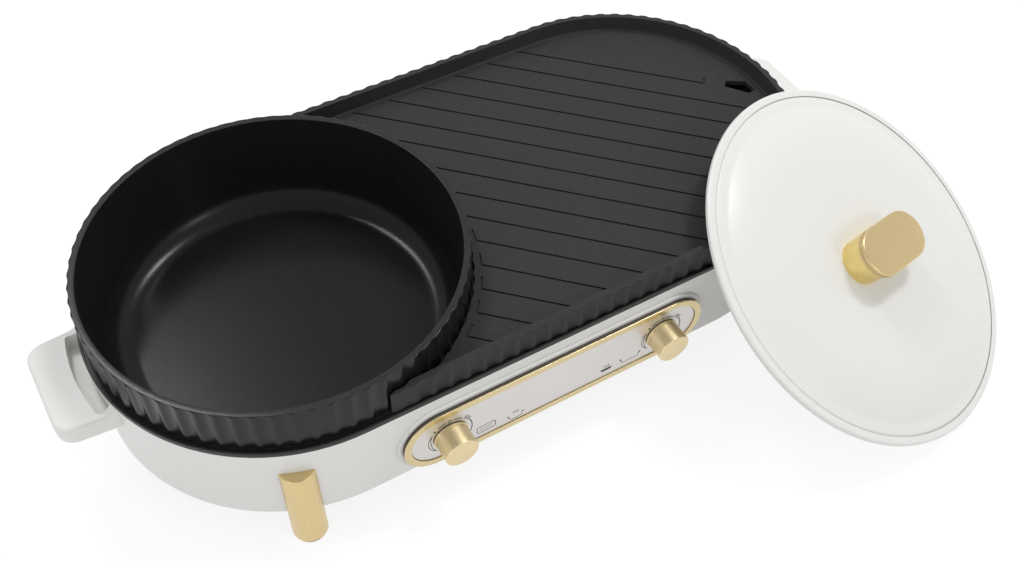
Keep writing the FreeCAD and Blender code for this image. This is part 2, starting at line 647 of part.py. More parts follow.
def make_pot_heater():
    """Ring-shaped heating tube whose two ends bend down through the dish."""
    half_gap = HEATER_GAP_DEG / 2
    edges = []
    ends = []
    for side in (-1, 1):
        angle = -90 + side * half_gap
        start = polar(POT_HEATER_R, angle, POT_HEATER_Z)
        towards_gap = polar(1, angle - side * 90)
        knee = start + towards_gap * HEATER_BEND
        middle = start + towards_gap * (HEATER_BEND * math.sin(math.pi / 4))
        middle = middle - Z * (HEATER_BEND * (1 - math.cos(math.pi / 4)))
        foot = knee - Z * HEATER_BEND
        tail = V(foot.x, foot.y, WELL_FLOOR - 8)
        ends.append((start, middle, foot, tail))
    (start_l, middle_l, foot_l, tail_l), (start_r, middle_r, foot_r, tail_r) = ends
    edges.append(Part.LineSegment(tail_r, foot_r).toShape())
    edges.append(Part.Arc(foot_r, middle_r, start_r).toShape())
    edges.append(Part.Arc(start_r, polar(POT_HEATER_R, 90, POT_HEATER_Z), start_l).toShape())
    edges.append(Part.Arc(start_l, middle_l, foot_l).toShape())
    edges.append(Part.LineSegment(foot_l, tail_l).toShape())
    section = Part.Wire([Part.makeCircle(TUBE_R, tail_r, Z)])
    heater = Part.Wire(edges).makePipeShell([section], True, False)
    heater.translate(V(-HALF, 0, 0))
    return heater


def heater_end_holes():
    return [cyl(TUBE_R + 0.4, WELL_FLOOR - 2, WELL_FLOOR + 2, p.x, p.y) for p in pot_heater_ends()]


def pot_heater_ends():
    """Where the heater's two ends go down through the dish."""
    ends = []
    for side in (-1, 1):
        angle = -90 + side * HEATER_GAP_DEG / 2
        ends.append(polar(POT_HEATER_R, angle, 0, -HALF) + polar(HEATER_BEND, angle - side * 90))
    return ends


GRILL_LOOP = [(205, 26), (205, 84), (20, 84), (20, 28), (160, 28), (160, -28), (20, -28),
              (20, -84), (205, -84), (205, -26)]
GRILL_HEATER_FOOT = TRAY_FLOOR - 9


def make_grill_heater():
    """Flat loop of heating tube under the grill plate; both ends turn down through the tray."""
    points = [V(x, y, GRILL_HEATER_Z) for x, y in GRILL_LOOP]
    first, last = points[0], points[-1]
    points.insert(0, V(first.x, first.y, GRILL_HEATER_FOOT))
    points.append(V(last.x, last.y, GRILL_HEATER_FOOT))
    return tube(points, GRILL_TUBE_R, 9.0)


def grill_heater_holes():
    ends = (GRILL_LOOP[0], GRILL_LOOP[-1])
    return [cyl(GRILL_TUBE_R + 0.4, TRAY_FLOOR - 1, TRAY_FLOOR + 2, x, y) for x, y in ends]


def make_pot_heater_clips():
    """Saddles on the dish's floor that hold the ring heater."""
    ring = Part.makeTorus(POT_HEATER_R, TUBE_R, V(-HALF, 0, POT_HEATER_Z), Z)
    clips = []
    for angle in (30, 150, 210, 330):
        clip = box(-6.5, 6.5, -3, 3, WELL_FLOOR + SHEET_T, POT_HEATER_Z - 1)
        clip.rotate(O, Z, angle)
        clip.translate(polar(POT_HEATER_R, angle, 0, -HALF))
        clips.append(clip.cut(ring))
    return clips


def make_grill_heater_clips():
    """Saddles on the tray's floor that hold the straight runs of the loop heater."""
    clips = []
    for x in (60, 125):
        for y in (-84, -28, 28, 84):
            clip = box(x - 2, x + 2, y - 5.5, y + 5.5, TRAY_FLOOR + SHEET_T, GRILL_HEATER_Z - 1)
            run = Part.makeCylinder(GRILL_TUBE_R, 20, V(x - 10, y, GRILL_HEATER_Z), X)
            clips.append(clip.cut(run))
    return clips


def make_pot_sensor():
    """Spring-loaded temperature sensor in the middle of the dish."""
    top = POT_BOTTOM - FIT_GAP
    return turned([(0, WELL_FLOOR - 6, 0), (9, WELL_FLOOR - 6, 0), (9, WELL_FLOOR, 0), (12.0, WELL_FLOOR, 0),
                   (12.0, WELL_FLOOR + SHEET_T, 0), (8, WELL_FLOOR + SHEET_T, 0), (8, top - 1, 1.0),
                   (7, top, 0), (0, top, 0)], -HALF)


def make_grill_sensor():
    top = GRILL_FLOOR - GRILL_FLOOR_T - FIT_GAP
    return turned([(0, TRAY_FLOOR + SHEET_T, 0), (7, TRAY_FLOOR + SHEET_T, 0), (7, TRAY_FLOOR + 3, 0),
                   (5, TRAY_FLOOR + 3, 0), (5, top, 0.8), (0, top, 0)], 90.0)


# ================================ control panel ==================================================
def panel_ring(r_out, y0, y1):
    """Flat stadium ring round the panel plate."""
    ring = front_stadium(RING_HALF, r_out, y0, y1, RING_Z)
    return ring, front_stadium(RING_HALF, RING_R_IN, y0 - 1, y1 + 1, RING_Z)


def make_bezel():
    ring, inner = panel_ring(RING_R_OUT, RING_Y, RING_BACK_Y)
    ring = ring.makeFillet(0.5, [e for e in ring.Edges if e.BoundBox.YMax < RING_Y + 0.01])
    return ring.cut(inner)


def make_panel_seal():
    ring, inner = panel_ring(RING_R_OUT - SEAL_INSET, RING_BACK_Y, BOSS_Y)
    return ring.cut(inner)


def make_panel_plate():
    plate = front_stadium(RING_HALF, RING_R_IN - PLATE_GAP, PLATE_Y, BOSS_Y, RING_Z)
    holes = [Part.makeCylinder(BUSHING_R + FIT_GAP, 20, V(x, BOSS_Y - 10, PANEL_Z), Y)
             for x in (-KNOB_X, KNOB_X)]
    return plate.cut(Part.makeCompound(holes))


THERMOSTAT_FRONT_Y = -131.5   # about where the wall's inner face is
SHAFT_BACK_Y = THERMOSTAT_FRONT_Y + 8.0
SHAFT_FRONT_Y = KNOB_FACE_Y + 4.0


def make_thermostat(x):
    """Flat thermostat against the wall's inner face; its bushing comes through to the panel."""
    w, d, h = THERMOSTAT
    back = THERMOSTAT_FRONT_Y + d
    body = box(x - w / 2, x + w / 2, THERMOSTAT_FRONT_Y - 2, back, PANEL_Z - h / 2, PANEL_Z + h / 2)
    body = body.makeFillet(2.0, [e for e in body.Edges if e.BoundBox.YLength > d - 0.1])
    body = body.common(base_inside(LEDGE_Z + LEDGE_T, BASE_TOP))
    low = PANEL_Z - h / 2
    tabs = [box(x + s * 8 - 3.0, x + s * 8 + 3.0, back - 4.4, back - 3.6, low - THERMOSTAT_TAB, low + 1)
            for s in (-1, 1)]
    bushing = Part.makeCylinder(BUSHING_R, THERMOSTAT_FRONT_Y + 2 - PLATE_Y, V(x, PLATE_Y, PANEL_Z), Y)
    bore_length = SHAFT_BACK_Y + FIT_GAP - PLATE_Y + 1
    bore = Part.makeCylinder(SHAFT_R + SHAFT_RUN, bore_length, V(x, PLATE_Y - 1, PANEL_Z), Y)
    return fuse([body, bushing] + tabs).cut(bore)


def make_shaft(x):
    return Part.makeCylinder(SHAFT_R, SHAFT_BACK_Y - SHAFT_FRONT_Y, V(x, SHAFT_FRONT_Y, PANEL_Z), Y)


def make_knob(x):
    """Round knob with a thin skirt at its back and a bevelled front edge."""
    depth = KNOB_BACK_Y - KNOB_FACE_Y
    corners = [(0, 0, 0), (KNOB_SKIRT_R, 0, 0.3), (KNOB_SKIRT_R, KNOB_SKIRT_T, 0.3),
               (KNOB_R, KNOB_SKIRT_T, 0), (KNOB_R - 0.15, depth, KNOB_EDGE), (0, depth, 0)]
    knob = turned(corners)
    knob = knob.cut(cyl(SHAFT_R, -1, KNOB_BACK_Y - SHAFT_FRONT_Y))
    knob = knob.cut(cyl(8.5, -1, 2.0).cut(cyl(5.0, -1, 2.0)))
    knob.rotate(O, X, 90)
    knob.translate(V(x, KNOB_BACK_Y, PANEL_Z))
    return knob


# ================================ legs ===========================================================
def leg_column(cx, angle, radius, z0, z1):
    p = polar(LEG_AXIS_R, angle, 0, cx)
    return cyl(radius, z0, z1, p.x, p.y)


def make_leg(cx, angle):
    column = leg_column(cx, angle, LEG_R, PAD_T, LEG_TOP)
    rims = [e for e in column.Edges if e.BoundBox.ZLength < 0.01]
    column = column.makeFillet(LEG_ROUND, rims)
    column = column.cut(base_outside(0, BASE_TOP))
    return column.cut(Part.makeCompound(radial_holes(1.5, 4, 5.5)))


def make_pad(cx, angle):
    column = leg_column(cx, angle, LEG_R - PAD_INSET, 0, PAD_T)
    return column.cut(base_outside(0, BASE_TOP, PAD_INSET))


def make_leg_screws():
    screws = []
    for name, cx, angle in leg_places():
        for z in LEG_SCREW_Z:
            seat = polar(wall_r(z) - WALL - SEAT_GAP, angle, z, cx)
            screws.append(screw(seat, polar(1, angle), SCREW_HEAD_R, SCREW_HEAD_T, 1.5, 7.0))
    return screws


# ================================ electrics ======================================================
INLET_FACE_Y = 136.0
INLET_BODY_Y = 112.0


def make_inlet():
    """Appliance socket set in the rear wall, open to the back."""
    w, h = INLET_W / 2 + 2.0, INLET_H / 2 + 2.0
    body = box(INLET_X - w, INLET_X + w, INLET_BODY_Y, INLET_FACE_Y, INLET_Z - h, INLET_Z + h)
    flange = box(INLET_X - w - 3, INLET_X + w + 3, 130, INLET_FACE_Y, INLET_Z - h - 3, INLET_Z + h + 3)
    flange = flange.makeFillet(2.5, [e for e in flange.Edges if e.BoundBox.YLength > 1])
    flange = flange.cut(base_outside())
    cavity = box(INLET_X - INLET_W / 2, INLET_X + INLET_W / 2, INLET_FACE_Y - INLET_DEPTH, 150,
                 INLET_Z - INLET_H / 2, INLET_Z + INLET_H / 2)
    cavity = cavity.makeFillet(4.0, [e for e in cavity.Edges if e.BoundBox.YLength > 10])
    return body.fuse(flange).cut(cavity).removeSplitter()


PIN_X = (-7.0, 0.0, 7.0)
PIN_Z = (-1.5, 3.0, -1.5)


def make_inlet_pins():
    """Three flat blades on the inlet's floor."""
    y0 = INLET_FACE_Y - INLET_DEPTH
    pins = []
    for dx, dz in zip(PIN_X, PIN_Z):
        x, z = INLET_X + dx, INLET_Z + dz
        pins.append(box(x - 1.0, x + 1.0, y0, y0 + 11, z - 2.5, z + 2.5))
    return pins


BLOCK = (60.0, 84.0, 60.0, 90.0, LEDGE_Z, 47.0)


def make_terminal_block():
    block = box(*BLOCK)
    x0, x1, y0, y1, z0, z1 = BLOCK
    wells = [cyl(2.2, z1 - 3, z1 + 1, x0 + 4 + 8 * i, y) for i in range(3) for y in (y0 + 8, y1 - 8)]
    return block.cut(Part.makeCompound(wells))


def make_thermal_fuses():
    z = WELL_FLOOR - 4.0
    fuses = [Part.makeCylinder(3.0, 18, V(-HALF + s * 40 - 9, 30, z + 1.0), X) for s in (-1, 1)]
    return fuses


# ================================ lid ============================================================
def lid_frame():
    """Placement that takes the lid from its own axes to the leaning pose."""
    a, e = math.radians(LID_AZIMUTH), math.radians(LID_ELEVATION)
    normal = V(math.cos(e) * math.cos(a), math.cos(e) * math.sin(a), math.sin(e))
    uphill = (Z - normal * normal.z).normalize()
    across = uphill.cross(normal)
    m = FreeCAD.Matrix(across.x, uphill.x, normal.x, LID_CENTRE.x,
                       across.y, uphill.y, normal.y, LID_CENTRE.y,
                       across.z, uphill.z, normal.z, LID_CENTRE.z,
                       0, 0, 0, 1)
    return FreeCAD.Placement(m)


def tangent_arc(p, tangent, q):
    """Arc that leaves p along the unit vector tangent and ends at q."""
    normal = V(tangent.z, 0, -tangent.x)
    chord = q - p
    radius = chord.dot(chord) / (2 * chord.dot(normal))
    centre = p + normal * radius
    middle = centre + ((p - centre) + (q - centre)).normalize() * abs(radius)
    return Part.Arc(p, middle, q).toShape()


def dome_edges(top, edge_r, edge_h):
    """Section of a dome from its middle to its edge: a flat crown, then a rounded shoulder."""
    crown = (LID_SHOULDER_R ** 2 + LID_SHOULDER_DROP ** 2) / (2 * LID_SHOULDER_DROP)
    half_r = LID_SHOULDER_R / 2
    half_h = top - crown + math.sqrt(crown ** 2 - half_r ** 2)
    shoulder = V(LID_SHOULDER_R, 0, top - LID_SHOULDER_DROP)
    slope = math.asin(LID_SHOULDER_R / crown)
    flat = Part.Arc(V(0, 0, top), V(half_r, 0, half_h), shoulder).toShape()
    turn = tangent_arc(shoulder, V(math.cos(slope), 0, -math.sin(slope)), V(edge_r, 0, edge_h))
    return [flat, turn]


def revolved_section(edges, points):
    """Solid from a section: the dome's edges, then straight lines through the points to the axis."""
    corners = [V(r, 0, h) for r, h in points]
    lines = [Part.LineSegment(p, q).toShape() for p, q in zip(corners, corners[1:])]
    return Part.Face(Part.Wire(edges + lines)).revolve(O, Z, 360)


LID_SKIRT_IN = LID_SKIRT_R - 2.0
LID_INNER_TOP = LID_DOME - LID_T
LID_INNER_EDGE = LID_DOME_EDGE - LID_T


def make_lid_shell():
    """Domed disc with a stepped rim, a turned-down edge and a locating skirt inside the pot."""
    edge = LID_DOME_EDGE
    rim = [(LID_DOME_R, edge), (LID_DOME_R + 3.5, edge - 0.15), (LID_STEP_R - 1.6, edge + 0.25),
           (LID_STEP_R - 0.4, edge + 0.1), (LID_STEP_R, LID_GROOVE_Z), (LID_STEP_R + 0.6, LID_GROOVE_Z),
           (LID_STEP_R + 0.9, 0.4), (LID_R - 1.2, 0.2), (LID_R, -1.0),
           (LID_R, -LID_LIP + 0.4), (LID_R - 0.4, -LID_LIP), (LID_R - 1.8, -LID_LIP), (LID_R - 2.0, -1.8),
           (LID_SKIRT_R, -1.8), (LID_SKIRT_R, -LID_SKIRT_H), (LID_SKIRT_IN, -LID_SKIRT_H),
           (LID_SKIRT_IN, LID_INNER_EDGE)]
    filled = rim[:-1] + [(0, -LID_SKIRT_H), (0, LID_DOME)]
    outer = revolved_section(dome_edges(LID_DOME, LID_DOME_R, edge), filled)
    return outer.cut(under_dome(-LID_SKIRT_H - 1)).cut(cyl(2.8, -10, 30))


def under_dome(z):
    """Everything between the lid's inner surface and height z."""
    section = [(LID_SKIRT_IN, LID_INNER_EDGE), (LID_SKIRT_IN, z), (0, z), (0, LID_INNER_TOP)]
    return revolved_section(dome_edges(LID_INNER_TOP, LID_SKIRT_IN, LID_INNER_EDGE), section)


def grip_stadium(r, z0, z1):
    solid = stadium(GRIP_HALF, r, z0, z1)
    solid.rotate(O, Z, KNOB_TURN)
    return solid


def flat_edges(solid, z):
    return [e for e in solid.Edges if abs(e.BoundBox.ZMin - z) < 0.01 and e.BoundBox.ZLength < 0.01]


def make_lid_neck():
    """Slimmer stadium between the dome and the cap, with a blind hole for the screw."""
    neck = grip_stadium(NECK_R, 5, CAP_BOTTOM)
    section = [(LID_DOME_R, LID_DOME_EDGE), (LID_DOME_R, -10), (0, -10), (0, LID_DOME)]
    dome = revolved_section(dome_edges(LID_DOME, LID_DOME_R, LID_DOME_EDGE), section)
    return neck.cut(dome).cut(cyl(2.2, 0, CAP_BOTTOM - 2.5))


def make_lid_cap():
    cap = grip_stadium(CAP_R, CAP_BOTTOM, CAP_TOP)
    cap = cap.makeFillet(1.1, flat_edges(cap, CAP_TOP))
    cap = cap.makeFillet(0.9, flat_edges(cap, CAP_BOTTOM))
    low, high, depth = CAP_GROOVE
    return cap.cut(grip_stadium(CAP_R + 1, low, high).cut(grip_stadium(CAP_R - depth, low - 1, high + 1)))


def make_lid_screw():
    return screw(V(0, 0, LID_INNER_TOP - 1.0), Z, 4.6, 2.2, 2.2, 14.0)


def make_lid_washer():
    """Washer pressed against the inside of the dome by the screw's head."""
    washer = cyl(8.0, LID_INNER_TOP - 1.0, LID_INNER_TOP).cut(cyl(2.5, 0, 30))
    return washer.common(under_dome(0))


# ================================ assembly =======================================================
def build():
    parts = {}
    parts["base_shell"] = make_base_shell()
    parts["bottom_cover"] = make_bottom_cover()
    parts["bottom_cover_screws"] = make_cover_screws()
    parts["left_handle"] = make_handle(-1)
    parts["right_handle"] = make_handle(1)
    parts["handle_screws"] = make_handle_screws()
    parts["deck_frame"] = make_deck()
    parts["drip_cup"] = make_drip_cup()
    parts["pot"] = make_pot()
    parts["grill_plate"] = make_grill_plate()
    parts["pot_reflector"] = make_pot_reflector().cut(Part.makeCompound(heater_end_holes()))
    parts["grill_reflector"] = make_grill_reflector().cut(Part.makeCompound(grill_heater_holes()))
    parts["pot_heater"] = make_pot_heater()
    parts["pot_heater_clips"] = make_pot_heater_clips()
    parts["grill_heater"] = make_grill_heater()
    parts["grill_heater_clips"] = make_grill_heater_clips()
    parts["pot_sensor"] = make_pot_sensor()
    parts["grill_sensor"] = make_grill_sensor()
    parts["thermal_fuses"] = make_thermal_fuses()
    parts["terminal_block"] = make_terminal_block()
    parts["power_inlet"] = make_inlet()
    parts["inlet_pins"] = make_inlet_pins()
    parts["panel_bezel"] = make_bezel()
    parts["panel_seal"] = make_panel_seal()
    parts["panel_plate"] = make_panel_plate()
    for side, x in (("left", -KNOB_X), ("right", KNOB_X)):
        parts["thermostat_" + side] = make_thermostat(x)
        parts["thermostat_shaft_" + side] = make_shaft(x)
        parts["knob_" + side] = make_knob(x)
    for name, cx, angle in leg_places():
        parts[name] = make_leg(cx, angle)
        parts[name.replace("leg", "foot_pad")] = make_pad(cx, angle)
    parts["leg_screws"] = make_leg_screws()
    lean = lid_frame()
    lid_pieces = {"lid_shell": make_lid_shell(), "lid_knob_neck": make_lid_neck(),
                  "lid_knob_cap": make_lid_cap(), "lid_knob_screw": make_lid_screw(),
                  "lid_knob_washer": make_lid_washer()}
    for name, shape in lid_pieces.items():
        shape.Placement = lean.multiply(shape.Placement)
        parts[name] = shape
    return {name: Part.makeCompound(s) if isinstance(s, list) else s for name, s in parts.items()}


def shift_to_origin(parts):
    """Move everything so that the bounding box's bottom centre is the origin."""
    whole = Part.makeCompound(list(parts.values())).optimalBoundingBox(False)
    shift = V(-whole.Center.x, -whole.Center.y, -whole.ZMin)
    for shape in parts.values():
        shape.translate(shift)
    return shift


PARTS = build()
SHIFT = shift_to_origin(PARTS)

os.makedirs("parts", exist_ok=True)
for node, shape in PARTS.items():
    shape.exportStep("parts/" + node + ".step")
    state = "valid" if shape.isValid() else "INVALID"
    print(node, state, len(shape.Solids), "solids", round(shape.Volume / 1000, 1))
print("shift", round(SHIFT.x, 3), round(SHIFT.y, 3), round(SHIFT.z, 3))
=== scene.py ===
"""Looks of the two-in-one cooker: meshes, materials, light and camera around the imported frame."""
import math

import bmesh
import bpy
from mathutils import Matrix, Vector


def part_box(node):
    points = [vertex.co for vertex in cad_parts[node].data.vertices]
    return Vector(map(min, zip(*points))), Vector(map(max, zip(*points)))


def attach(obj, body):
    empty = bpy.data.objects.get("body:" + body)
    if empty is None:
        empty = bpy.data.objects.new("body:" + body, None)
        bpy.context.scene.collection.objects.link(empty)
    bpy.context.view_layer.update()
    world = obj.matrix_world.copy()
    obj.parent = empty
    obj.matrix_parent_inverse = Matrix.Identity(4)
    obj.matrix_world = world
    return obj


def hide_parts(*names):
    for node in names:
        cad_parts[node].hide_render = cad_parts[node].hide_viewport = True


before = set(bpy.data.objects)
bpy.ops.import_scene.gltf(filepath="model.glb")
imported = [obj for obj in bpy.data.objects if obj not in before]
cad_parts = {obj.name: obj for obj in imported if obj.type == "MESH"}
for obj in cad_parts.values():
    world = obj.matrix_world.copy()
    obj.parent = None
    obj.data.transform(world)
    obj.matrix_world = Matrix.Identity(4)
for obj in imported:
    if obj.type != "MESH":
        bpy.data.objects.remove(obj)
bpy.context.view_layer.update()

# ---- appliance coordinates, in millimetres, about the middle of the base on the table ---------
DECK_LO, DECK_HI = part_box("deck_frame")
BASE_X = (DECK_LO[0] + DECK_HI[0]) / 2
BASE_Y = (DECK_LO[1] + DECK_HI[1]) / 2


def metres(p):
    """A point in appliance millimetres, as scene metres."""
    return Vector((BASE_X + p[0] / 1000, BASE_Y + p[1] / 1000, p[2] / 1000))


def box_mm(node):
    """Lowest and highest corners of a CAD node at rest, in appliance millimetres."""
    return [[(v - o) * 1000 for v, o in zip(corner, (BASE_X, BASE_Y, 0))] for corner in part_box(node)]


DECK_TOP = DECK_HI[2] * 1000
POT_LO, POT_HI = box_mm("pot")
POT_TOP = POT_HI[2]


# ================================ mesh tools =====================================================
WELD, WELD_COPY = 1e-6, 2e-6  # points nearer than this many metres become one
SAME_PLANE = math.radians(0.2)


def rounded(corners, steps):
    """Polyline through corners (u, v, radius), each corner turned by a tangent arc."""
    points = []
    for i, (u, v, r) in enumerate(corners):
        p = Vector((u, v))
        if r <= 0 or i in (0, len(corners) - 1):
            points.append((u, v))
            continue
        back = (Vector(corners[i - 1][:2]) - p).normalized()
        ahead = (Vector(corners[i + 1][:2]) - p).normalized()
        half_angle = back.angle(ahead) / 2
        centre = p + (back + ahead).normalized() * (r / math.sin(half_angle))
        start = p + back * (r / math.tan(half_angle)) - centre
        sweep_angle = math.pi - 2 * half_angle
        turn = 1 if start.y * back.x - start.x * back.y > 0 else -1
        for k in range(steps + 1):
            a = turn * sweep_angle * k / steps
            c, s = math.cos(a), math.sin(a)
            points.append((centre.x + start.x * c - start.y * s, centre.y + start.x * s + start.y * c))
    return points


def arc_between(p, tangent, q, steps):
    """Points on the arc that leaves p along tangent and ends at q."""
    p, q, tangent = Vector(p), Vector(q), Vector(tangent).normalized()
    normal = Vector((tangent.y, -tangent.x))
    chord = q - p
    radius = chord.dot(chord) / (2 * chord.dot(normal))
    centre = p + normal * radius
    a0 = math.atan2(p.y - centre.y, p.x - centre.x)
    a1 = math.atan2(q.y - centre.y, q.x - centre.x)
    return [(centre.x + radius * math.cos(a0 + (a1 - a0) * i / steps),
             centre.y + radius * math.sin(a0 + (a1 - a0) * i / steps)) for i in range(steps + 1)]


def mesh_from(name, verts, faces, material, sharp=35.0):
    """Mesh object from points in millimetres, smooth but for edges turned by more than sharp degrees."""
    mesh = bpy.data.meshes.new(name)
    mesh.from_pydata([metres(v) for v in verts], [], faces)
    bm = bmesh.new()
    bm.from_mesh(mesh)
    bmesh.ops.remove_doubles(bm, verts=bm.verts, dist=WELD)
    bmesh.ops.recalc_face_normals(bm, faces=bm.faces)
    bm.to_mesh(mesh)
    bm.free()
    mesh.shade_smooth()
    mesh.set_sharp_from_angle(angle=math.radians(sharp))
    mesh.materials.append(material)
    obj = bpy.data.objects.new(name, mesh)
    bpy.context.scene.collection.objects.link(obj)
    return obj


def finish_piece(obj, body, node=None):
    """Hangs a piece on its body, and lets it stand for a CAD node, whose own mesh it hides."""
    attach(obj, body)
    if node:
        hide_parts(node)


def sweep(rings, closed_profile=False):
    """Points and faces of rings of equal length that follow one another all the way round a piece."""
    verts = [v for ring in rings for v in ring]
    n = len(rings[0])
    faces = []
    for i in range(len(rings)):
        a, b = i * n, (i + 1) % len(rings) * n
        for j in range(n if closed_profile else n - 1):
            k = (j + 1) % n
            faces.append((a + j, a + k, b + k, b + j))
    return verts, faces


def lathe(name, profile, place, material, segments, sharp, closed=False):
    """Solid of revolution: the profile is (radius, height), and place maps (x, y, z) to millimetres."""
    rings = []
    for i in range(segments):
        a = 2 * math.pi * i / segments
        rings.append([place(r * math.cos(a), r * math.sin(a), h) for r, h in profile])
    verts, faces = sweep(rings, closed)
    return mesh_from(name, verts, faces, material, sharp)


def stadium_stations(half, arc_steps, line_steps):
    """Stations (centre x, angle) round a stadium, counter-clockwise from its front left."""
    stations = [(-half + 2 * half * i / line_steps, -math.pi / 2) for i in range(line_steps)]
    stations += [(half, -math.pi / 2 + math.pi * i / arc_steps) for i in range(arc_steps)]
    stations += [(half - 2 * half * i / line_steps, math.pi / 2) for i in range(line_steps)]
    stations += [(-half, math.pi / 2 + math.pi * i / arc_steps) for i in range(arc_steps)]
    return stations


def stadium_rings(stations, profile, place):
    """The profile (radius, height) at each station round a stadium."""
    return [[place(x + r * math.cos(a), r * math.sin(a), h) for r, h in profile] for x, a in stations]


def refined(node, material, body, width, segments, angle=30.0):
    """Copy of a node's mesh that stands for the node: welded, with edges rounded by width millimetres."""
    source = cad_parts[node]
    mesh = source.data.copy()
    bm = bmesh.new()
    bm.from_mesh(mesh)
    bmesh.ops.remove_doubles(bm, verts=bm.verts, dist=WELD_COPY)
    bmesh.ops.dissolve_limit(bm, angle_limit=SAME_PLANE, verts=bm.verts, edges=bm.edges)
    bm.to_mesh(mesh)
    bm.free()
    mesh.materials.clear()
    mesh.materials.append(material)
    obj = bpy.data.objects.new(node + "_finish", mesh)
    obj.matrix_world = source.matrix_world
    bpy.context.scene.collection.objects.link(obj)
    for attribute in ("custom_normal", "sharp_face"):
        if attribute in mesh.attributes:
            mesh.attributes.remove(mesh.attributes[attribute])
    mesh.shade_smooth()
    mesh.set_sharp_from_angle(angle=math.radians(angle))
    bevel = obj.modifiers.new("soft_edges", "BEVEL")
    bevel.width = width / 1000
    bevel.segments = segments
    bevel.limit_method = "ANGLE"
    bevel.angle_limit = math.radians(angle)
    finish_piece(obj, body, node)


# ================================ materials ======================================================
NOISE_LOW, NOISE_HIGH = 0.3, 0.7  # most values of a noise texture lie between these
RIM_SHEEN_GAIN = 2.4  # how much paler the rim's top is made: a painted highlight for the light the rim catches
SHEEN_START, SHEEN_FULL = 0.0006, 0.0001  # metres below the rim's top


def map_range(tree, value, span_in, span_out):
    """Socket that carries value from the first span to the second, which are pairs of numbers."""
    node = tree.nodes.new("ShaderNodeMapRange")
    for socket, number in zip(("From Min", "From Max", "To Min", "To Max"), (*span_in, *span_out)):
        node.inputs[socket].default_value = number
    tree.links.new(value, node.inputs["Value"])
    return node.outputs["Result"]


class Nodes:
    """A material and small helpers that add linked shader nodes to it."""

    def __init__(self, name):
        self.material = bpy.data.materials.new(name)
        self.material.use_nodes = True
        self.tree = self.material.node_tree
        self.shader = self.tree.nodes["Principled BSDF"]

    def feed(self, node, inputs):
        """Links or sets a node's sockets, whose names have _ for a space."""
        for key, value in inputs.items():
            socket = node.inputs[key.replace("_", " ")]
            if isinstance(value, bpy.types.NodeSocket):
                self.tree.links.new(value, socket)
            else:
                socket.default_value = value

    def add(self, kind, settings=None, **inputs):
        node = self.tree.nodes.new(kind)
        for key, value in (settings or {}).items():
            setattr(node, key, value)
        self.feed(node, inputs)
        return node

    def use(self, **inputs):
        """Sets the surface, and gives the finished material."""
        self.feed(self.shader, inputs)
        return self.material

    def coordinates(self):
        return self.add("ShaderNodeTexCoord").outputs["Object"]

    def noise(self, scale, detail=2.0, vector=None, roughness=0.5):
        vector = vector or self.coordinates()
        node = self.add("ShaderNodeTexNoise", Vector=vector, Scale=scale, Detail=detail, Roughness=roughness)
        return node.outputs["Fac"]

    def ramp(self, factor, stops):
        node = self.add("ShaderNodeValToRGB", Fac=factor)
        elements = node.color_ramp.elements
        while len(elements) < len(stops):
            elements.new(0.5)
        for element, (position, colour) in zip(elements, stops):
            element.position = position
            element.color = (*colour, 1)
        return node.outputs["Color"]

    def spread(self, factor, value, share):
        """Value that a noise makes up to that share lower or higher."""
        span = (value * (1 - share), value * (1 + share))
        return map_range(self.tree, factor, (NOISE_LOW, NOISE_HIGH), span)

    def bump(self, height, distance, strength):
        node = self.add("ShaderNodeBump", Height=height, Distance=distance, Strength=strength)
        return node.outputs["Normal"]


def tint(colour, amount):
    return tuple(c * amount for c in colour)


def plastic(name, colour, roughness, grain=900.0, depth=0.00002, vary=0.03, level=0.5):
    """Moulded plastic: faint mottling, fine grain and uneven gloss."""
    n = Nodes(name)
    cloud = n.noise(scale=9.0, detail=3.0)
    fine = n.noise(grain)
    base = n.ramp(cloud, [(NOISE_LOW, tint(colour, 1 - vary)), (NOISE_HIGH, colour)])
    return n.use(Base_Color=base, Roughness=n.spread(fine, roughness, share=0.1),
                 Specular_IOR_Level=level, Normal=n.bump(fine, depth, strength=0.6))


def painted_rim_sheen(n, base, rim_top):
    """The base colour, paler close below rim_top, in metres: a painted highlight for the light a rim
    catches.
    """
    height = n.add("ShaderNodeSeparateXYZ", Vector=n.coordinates()).outputs["Z"]
    sheen = map_range(n.tree, height, (rim_top - SHEEN_START, rim_top - SHEEN_FULL), (1.0, RIM_SHEEN_GAIN))
    return n.add("ShaderNodeVectorMath", {"operation": "SCALE"}, Vector=base, Scale=sheen).outputs["Vector"]


def coating(name, colour, roughness, level, speckle=0.25, depth=0.00004, grain=1500.0, rim_top=None):
    """Black non-stick coating: fine grain, faint mineral speckles, and, where rim_top is given, a rim
    painted paler near its top, which is a painted highlight.
    """
    n = Nodes(name)
    fine = n.noise(grain, detail=3.0, roughness=0.65)
    cloud = n.noise(scale=14.0, detail=3.0)
    dark, light = tint(colour, 1 - speckle), tint(colour, 1 + speckle)
    base = n.ramp(fine, [(0.38, dark), (0.55, colour), (0.72, light)])
    # painted highlight: the rim's top is made paler in the base colour
    if rim_top:
        base = painted_rim_sheen(n, base, rim_top)
    return n.use(Base_Color=base, Roughness=n.spread(cloud, roughness, share=0.07),
                 Specular_IOR_Level=level, Normal=n.bump(fine, depth, strength=0.6))


def metal(name, colour, roughness, streak=None, depth=0.000004, vary=0.06):
    """Metal with fine grain, or brushed where streak gives the grain's scale along each axis."""
    n = Nodes(name)
    if streak:
        vector = n.add("ShaderNodeMapping", Vector=n.coordinates(), Scale=streak).outputs["Vector"]
        fine = n.noise(scale=1.0, vector=vector)
    else:
        fine = n.noise(scale=900.0)
    base = n.ramp(fine, [(NOISE_LOW, tint(colour, 1 - vary)), (NOISE_HIGH, colour)])
    return n.use(Base_Color=base, Metallic=1.0, Roughness=n.spread(fine, roughness, share=0.15),
                 Normal=n.bump(fine, depth, strength=0.4))


